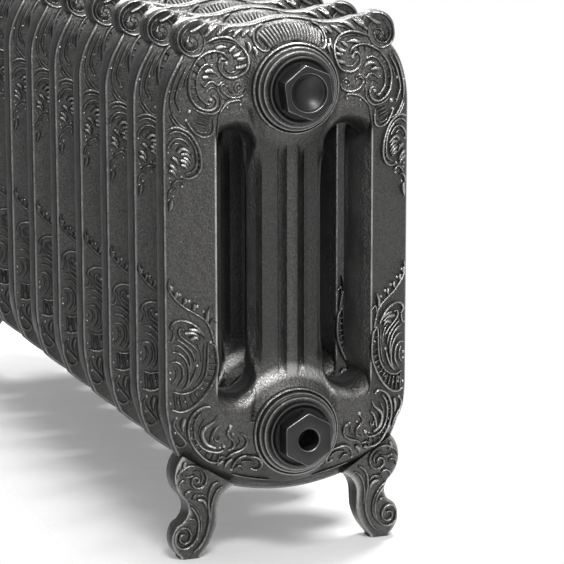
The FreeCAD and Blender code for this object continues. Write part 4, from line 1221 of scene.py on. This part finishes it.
def blind_hollow(top):
    """Round recess with a bevelled mouth and a dished floor."""
    # Polish on the mouth, partly a painted highlight, and painted shade down the wall
    return [(top, 16.9, 0, 0), (top - 0.1, 16.5, 0, 0.8), (top - 0.7, 16, 0, 0.6),
            (top - 1.8, 15.4, 0, -0.3), (top - 2.6, 14.4, 0, -0.6), (top - 2.9, 13.6, 0, -0.2),
            (top - 3.4, 13, 0, 0), (top - 5, 11, 0, -0.2), (top - 6.6, 8, 0, -0.2),
            (top - 7.7, 5, 0, 0), (top - 8.2, 2.4, 0, 0), (top - 8.3, 0.02, 0, 0)]


def vent_hollow(top):
    """Round recess for the air vent, bored on through the spigot for its thread."""
    # Polish on the mouth, partly a painted highlight, and painted shade down the wall
    return [(top, 15.9, 0, 0.2), (top - 0.1, 15.7, 0, 0.7), (top - 0.7, 15.3, 0, 0.5),
            (top - 8.9, 15.2, 0, -0.4), (top - 9, 15, 0, -0.4), (top - 9, 4.75, 0, -0.3),
            (top - 9.2, VENT_THREAD, 0, 0), (-SPIGOT, VENT_THREAD, 0, 0)]


def port_hollow(top):
    """Pipe port bored through, with a bevelled mouth and a few turns of thread in sight."""
    rows = [(top, 10.6, 0, 0), (top - 0.1, 10.3, 0, 0.6), (top - 0.9, 9.5, 0, 0.8)]
    for turn in range(7):
        crest = top - 1.6 - 1.8 * turn
        rows += [(crest, PORT_RADIUS, 0, 0.3), (crest - 0.9, PORT_RADIUS + 0.5, 0, 0)]
    return rows + [(-SPIGOT, PORT_RADIUS, 0, 0)]


def make_plug(hollow, turn, side, height):
    """A plug or bush facing +X or -X, its hexagon turned as it was screwed home."""
    shape = new_shape()
    rows = plug_rows(hollow)
    if hollow is blind_hollow:
        rows.insert(0, (-SPIGOT, 0.02, 0, 0))
    ring = 6 * SIDE_STEPS
    points = [[hex_point(x, radius, flats, turn, index) for index in range(ring)]
              for x, radius, flats, _ in rows]
    loft(shape, points, ring=ring, wear_and_light=[worn_and_lit for *_, worn_and_lit in rows])
    if hollow is not blind_hollow:
        bmesh.ops.bridge_loops(shape, edges=open_edges(shape))
    bmesh.ops.remove_doubles(shape, verts=shape.verts, dist=0.06)
    place = Matrix.Translation((side * PLUG_FOOT, 0, height)) @ Matrix.Diagonal((side, 1, 1, 1))
    bmesh.ops.transform(shape, matrix=place, verts=shape.verts)
    bmesh.ops.recalc_face_normals(shape, faces=shape.faces)
    return shape


def softened(name):
    """A copy of a CAD node in millimetres with its facets joined and its hard edges bevelled."""
    shape = bmesh.new()
    shape.from_mesh(bpy.data.objects[name].data)
    bmesh.ops.scale(shape, vec=(1 / MM,) * 3, verts=shape.verts)
    bmesh.ops.remove_doubles(shape, verts=shape.verts, dist=MERGE)
    bmesh.ops.dissolve_limit(shape, angle_limit=math.radians(1), verts=shape.verts,
                             edges=shape.edges)
    hard = [edge for edge in shape.edges
            if len(edge.link_faces) == 2 and edge.calc_face_angle(0) > math.radians(40)]
    bmesh.ops.bevel(shape, geom=hard, offset=0.25, offset_type="OFFSET", affect="EDGES",
                    segments=2, profile=0.5, material=-1, clamp_overlap=True)
    worn_and_lit = shape.verts.layers.float.new("wear_and_light")
    for vertex in shape.verts:
        vertex[worn_and_lit] = 0.5
    bmesh.ops.recalc_face_normals(shape, faces=shape.faces)
    return shape


# ---------------------------------------------------------------- settings in the sidebar
class RadiatorLook(bpy.types.PropertyGroup):
    """Finish of the iron, and how far the plugs are screwed round"""

    metallic: bpy.props.FloatProperty(
        name="Metallic", description="How much of the iron's skin is bare metal", default=0.85,
        min=0, max=1, subtype="FACTOR")
    roughness: bpy.props.FloatProperty(
        name="Roughness", description="Roughness of the cast skin away from worn edges", default=0.36,
        min=0, max=1, subtype="FACTOR")
    skin_depth: bpy.props.FloatProperty(
        name="Skin Depth", description="Depth of the grains that the sand leaves in the skin",
        default=0.001, min=0, max=0.01, unit="LENGTH")
    upper_turn: bpy.props.FloatProperty(
        name="Upper Plug Turn", description="Angle at which the blanking plug came to rest",
        default=math.radians(8), subtype="ANGLE")
    lower_turn: bpy.props.FloatProperty(
        name="Lower Bush Turn", description="Angle at which the connection bush came to rest",
        default=0, subtype="ANGLE")
    far_turn: bpy.props.FloatProperty(
        name="Far Fittings Turn", description="Angle at which the fittings of the far end came to rest",
        default=math.radians(22), subtype="ANGLE")


class RadiatorStudio(bpy.types.PropertyGroup):
    """Lamps, floor and camera around the radiator"""

    overhead: bpy.props.FloatProperty(
        name="Overhead Lamp", description="Power of the soft lamp above the row", default=52, min=0,
        subtype="POWER")
    back: bpy.props.FloatProperty(
        name="Back Lamp", description="Power of the lamp behind the row", default=24, min=0,
        subtype="POWER")
    front: bpy.props.FloatProperty(
        name="Front Lamp", description="Power of the lamp above the camera", default=15, min=0,
        subtype="POWER")
    fill: bpy.props.FloatProperty(
        name="Fill", description="Light that the white surroundings scatter on the row", default=0.5,
        min=0, max=1, subtype="FACTOR")
    shadow: bpy.props.FloatProperty(
        name="Shadow", description="How much of the row's shadow the floor keeps", default=0.86,
        min=0, max=1, subtype="FACTOR")
    lens: bpy.props.FloatProperty(
        name="Lens", description="Focal length of the camera", default=174.3, min=1,
        unit="CAMERA")
    distance: bpy.props.FloatProperty(
        name="Distance", description="From the camera to the end section", default=2.377, min=0.5,
        unit="LENGTH")
    turn: bpy.props.FloatProperty(
        name="Turn", description="How far the camera stands round the row's end",
        default=math.radians(21.38), subtype="ANGLE")
    down: bpy.props.FloatProperty(
        name="Look Down", description="How far the camera looks down", default=math.radians(12.17),
        subtype="ANGLE")


# ---------------------------------------------------------------- castings in their places
SHARP = math.radians(38)     # a greater turn between faces shows as a hard edge


def finished(shape, name):
    """A smooth-shaded mesh with hard edges where its faces turn sharply."""
    for face in shape.faces:
        face.smooth = True
    for edge in shape.edges:
        if len(edge.link_faces) == 2 and edge.calc_face_angle(0) > SHARP:
            edge.smooth = False
    mesh = bpy.data.meshes.new(name)
    shape.to_mesh(mesh)
    shape.free()
    return mesh


def linked(name, data):
    """A new object in the scene."""
    item = bpy.data.objects.new(name, data)
    bpy.context.scene.collection.objects.link(item)
    return item


def placed(mesh, name, body, finish, stands_for):
    """A piece of a finish that rides on a body and takes the place of a CAD node."""
    item = linked(name, mesh)
    mesh.materials.append(bpy.data.materials[finish])
    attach(item, body)
    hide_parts(stands_for)


def make_casting(on_feet):
    """Mesh of one casting about its own mid-plane, in millimetres."""
    whole = new_shape()
    for part in (make_rim(), make_inside(), make_hub(LOWER_HUB), make_hub(UPPER_HUB), make_shell(),
                 make_ear(), make_ornament()):
        add_to(whole, part)
    if on_feet:
        add_to(whole, make_foot())
        add_to(whole, repeated(make_relief(FOOT_SCROLLS, on_foot=True)))
    return whole


class RadiatorCastings(bpy.types.Operator):
    """Model the ornamented castings in place of the plain ones"""

    bl_idname = "radiator.castings"
    bl_label = "Castings"

    def execute(self, context):
        plain = finished(make_casting(on_feet=False), "casting")
        footed = finished(make_casting(on_feet=True), "leg_casting")
        to_metres = Matrix.Diagonal((MM, MM, MM, 1))
        for section in SECTIONS:
            name = "ornate_" + section
            mesh = (footed if section.startswith("leg") else plain).copy()
            mesh.name = name
            mesh.transform(to_metres @ Matrix.Translation((middle_of(section)[0], 0, 0)))
            placed(mesh, name, "radiator", "cast_iron", section)
        return {"FINISHED"}


def finish_of(name):
    """Finish of a CAD node, by its name."""
    if "gasket" in name:
        return "gasket_fibre"
    if "nipple" in name:
        return "machined_iron"
    return "vent_brass" if name in ("vent_body", "vent_screw") else "cast_iron"


class RadiatorFinishes(bpy.types.Operator):
    """Make the iron, rubber and brass finishes, and lay them on the plain parts"""

    bl_idname = "radiator.finishes"
    bl_label = "Finishes"

    def execute(self, context):
        look = context.scene.radiator_look
        sand_cast_group()
        wear_and_light_group()
        # Metal, the polish that also paints highlights, and the soot that also paints shade
        iron_finish("cast_iron",
                    ((0.094, 0.092, 0.09), (0.42, 0.415, 0.41), (0.02, 0.0195, 0.019)),
                    rough=look.roughness, smooth=0.24, grains=520.0, bump=1.0,
                    metallic=look.metallic, depth=look.skin_depth)
        iron_finish("machined_iron",
                    ((0.03, 0.03, 0.03), (0.26, 0.26, 0.258), (0.014, 0.014, 0.014)),
                    rough=0.34, smooth=0.22, grains=1100.0, pits=0.1, bump=0.3)
        iron_finish("gasket_fibre",
                    ((0.03, 0.028, 0.026), (0.06, 0.055, 0.05), (0.015, 0.014, 0.014)),
                    rough=0.75, smooth=0.6, grains=2200.0, pits=0.2, bump=0.3, metallic=0.0,
                    coat=0.0)
        iron_finish("vent_brass", ((0.5, 0.36, 0.14), (0.8, 0.62, 0.3), (0.16, 0.1, 0.04)),
                    rough=0.34, smooth=0.2, grains=1800.0, pits=0.05, bump=0.15, metallic=1.0,
                    coat=0.0)
        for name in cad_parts:
            materials = bpy.data.objects[name].data.materials
            materials.clear()
            materials.append(bpy.data.materials[finish_of(name)])
        return {"FINISHED"}


def fitted(shape, name, body, finish, stands_for):
    """Finish a piece modelled in millimetres in its own place, and put it there."""
    mesh = finished(shape, name)
    mesh.transform(Matrix.Scale(MM, 4))
    placed(mesh, name, body, finish, stands_for)


class RadiatorFittings(bpy.types.Operator):
    """Model the plug and the bushes at the four ends of the hubs"""

    bl_idname = "radiator.fittings"
    bl_label = "Plug and bushes"

    def execute(self, context):
        look = context.scene.radiator_look
        for name, hollow, turn, side, height in (
                ("blanking_plug", blind_hollow, look.upper_turn, 1, UPPER_HUB),
                ("connection_bush_right", port_hollow, look.lower_turn, 1, LOWER_HUB),
                ("connection_bush_left", port_hollow, look.far_turn, -1, LOWER_HUB),
                ("vent_bush", vent_hollow, look.far_turn, -1, UPPER_HUB)):
            fitted(make_plug(hollow, turn, side, height), "turned_" + name, "radiator",
                   "machined_iron", name)
        return {"FINISHED"}


class RadiatorVent(bpy.types.Operator):
    """Soften the edges of the air vent and its bleed screw"""

    bl_idname = "radiator.vent"
    bl_label = "Air vent"

    def execute(self, context):
        for name, body in (("vent_body", "radiator"), ("vent_screw", "vent_screw")):
            fitted(softened(name), "soft_" + name, body, "vent_brass", name)
        return {"FINISHED"}


def lamp(name, size, place, aim, power):
    """A white rectangular lamp at a place, turned to what it lights."""
    light = bpy.data.lights.new(name, "AREA")
    light.shape = "RECTANGLE"
    light.size, light.size_y = size
    light.energy = power
    item = linked(name, light)
    item.location = place
    item.rotation_euler = (Vector(aim) - Vector(place)).to_track_quat("-Z", "Y").to_euler()


CAMERA_AIM = (0.0103, 0.2342)    # depth and height at which the camera looks, in metres
CAMERA_SHIFT = (-0.022, 0.0074)


class RadiatorStage(bpy.types.Operator):
    """Set up the floor, the lamps, the surroundings and the camera"""

    bl_idname = "radiator.stage"
    bl_label = "Studio"

    def execute(self, context):
        studio = context.scene.radiator_studio
        context.scene.view_settings.view_transform = "Standard"
        end = middle_of(SECTIONS[-1])[0] * MM
        self.lay_floor(studio.shadow)
        self.surround(context.scene, studio.fill)
        aim = (end, 0, 0.25)
        lamp("overhead_lamp", (0.36, 0.8), (-0.05, 0.52, 2.15), aim, studio.overhead)
        lamp("back_lamp", (0.8, 0.5), (-1.6, 0.15, 1.25), aim, studio.back)
        lamp("front_lamp", (0.45, 0.35), (1.28, -0.2, 1.42), aim, studio.front)
        self.set_camera(context.scene, studio, Vector((end, *CAMERA_AIM)))
        return {"FINISHED"}

    def lay_floor(self, shadow):
        """A pale floor that shows in an oval round the row, for its shadow, and fades out beyond."""
        shape = bmesh.new()
        bmesh.ops.create_grid(shape, x_segments=1, y_segments=1, size=20)
        mesh = bpy.data.meshes.new("floor")
        shape.to_mesh(mesh)
        shape.free()
        floor = linked("floor", mesh)
        white = bpy.data.materials.new("studio_floor")
        white.use_nodes = True
        tree = white.node_tree
        shader = tree.nodes["Principled BSDF"]
        shader.inputs["Roughness"].default_value = 0.6
        tone = mixed(tree, ramp(tree, noise(tree, 40.0), 0.3, 0.7), (0.9, 0.9, 0.9, 1),
                     (0.93, 0.93, 0.93, 1))
        tree.links.new(tone, shader.inputs["Base Color"])
        where = node(tree, "TexCoord").outputs["Object"]
        oval = node(tree, "VectorMath", {"operation": "MULTIPLY"}, _0=where, _1=(0.45, 4.3, 0))
        away = node(tree, "VectorMath", {"operation": "LENGTH"}, _0=oval.outputs["Vector"])
        kept = ramp(tree, away.outputs["Value"], 0.45, 0.95, shadow, 0.0)
        tree.links.new(kept, shader.inputs["Alpha"])
        mesh.materials.append(white)

    def surround(self, scene, fill):
        """White surroundings. Gloss shows them dark in front of the far end, and a little dimmer
        beyond the wall side."""
        world = scene.world or bpy.data.worlds.new("studio")
        scene.world = world
        world.use_nodes = True
        tree = world.node_tree
        backdrop = tree.nodes["Background"]
        backdrop.inputs["Color"].default_value = (1, 1, 1, 1)
        path = node(tree, "LightPath")
        seen = maths(tree, "MAXIMUM", path.outputs["Is Camera Ray"],
                     path.outputs["Is Transmission Ray"])
        toward = node(tree, "SeparateXYZ", Vector=node(tree, "TexCoord").outputs["Generated"])
        corner = maths(tree, "ADD", toward.outputs["Y"],
                       maths(tree, "MULTIPLY", toward.outputs["X"], 0.5))
        image = maths(tree, "MULTIPLY", ramp(tree, corner, -0.85, -0.2, 0.15, 1.0),
                      ramp(tree, toward.outputs["Y"], 0.4, 0.9, 1.0, 0.7))
        image = maths(tree, "MULTIPLY", image, path.outputs["Is Glossy Ray"])
        scattered = ramp(tree, path.outputs["Is Diffuse Ray"], 0.0, 1.0, 0.0, fill)
        strength = maths(tree, "MAXIMUM", maths(tree, "MAXIMUM", seen, image), scattered)
        tree.links.new(strength, backdrop.inputs["Strength"])

    def set_camera(self, scene, studio, aim):
        """The camera at its distance from the end section, turned and tilted to it."""
        turn, down = studio.turn, studio.down
        away = Vector((math.cos(turn) * math.cos(down), -math.sin(turn) * math.cos(down),
                       math.sin(down)))
        lens = bpy.data.cameras.new("camera")
        lens.lens = studio.lens
        lens.shift_x, lens.shift_y = CAMERA_SHIFT
        camera = linked("camera", lens)
        camera.location = aim + away * studio.distance
        camera.rotation_euler = (-away).to_track_quat("-Z", "Y").to_euler()
        scene.camera = camera


class RadiatorPanel(bpy.types.Panel):
    """Sidebar panel of the radiator"""

    bl_idname = "VIEW3D_PT_radiator"
    bl_label = "Cast Iron Radiator"
    bl_space_type = "VIEW_3D"
    bl_region_type = "UI"
    bl_category = "Radiator"

    def draw(self, context):
        layout = self.layout
        for settings, operators in (
                (context.scene.radiator_look, (RadiatorFinishes, RadiatorCastings, RadiatorFittings,
                                               RadiatorVent)),
                (context.scene.radiator_studio, (RadiatorStage,))):
            box = layout.box()
            for name in settings.__annotations__:
                box.prop(settings, name)
            for operator in operators:
                box.operator(operator.bl_idname)


CLASSES = (RadiatorLook, RadiatorStudio, RadiatorFinishes, RadiatorCastings, RadiatorFittings,
           RadiatorVent, RadiatorStage, RadiatorPanel)


def register():
    """Make the settings and the operators known to Blender."""
    for cls in CLASSES:
        bpy.utils.register_class(cls)
    bpy.types.Scene.radiator_look = bpy.props.PointerProperty(type=RadiatorLook)
    bpy.types.Scene.radiator_studio = bpy.props.PointerProperty(type=RadiatorStudio)


def unregister():
    """Take them away again."""
    del bpy.types.Scene.radiator_studio
    del bpy.types.Scene.radiator_look
    for cls in reversed(CLASSES):
        bpy.utils.unregister_class(cls)


def main():
    """Build the radiator's looks."""
    register()
    bpy.ops.radiator.finishes()
    bpy.ops.radiator.castings()
    bpy.ops.radiator.fittings()
    bpy.ops.radiator.vent()
    bpy.ops.radiator.stage()


if __name__ == "__main__":
    main()
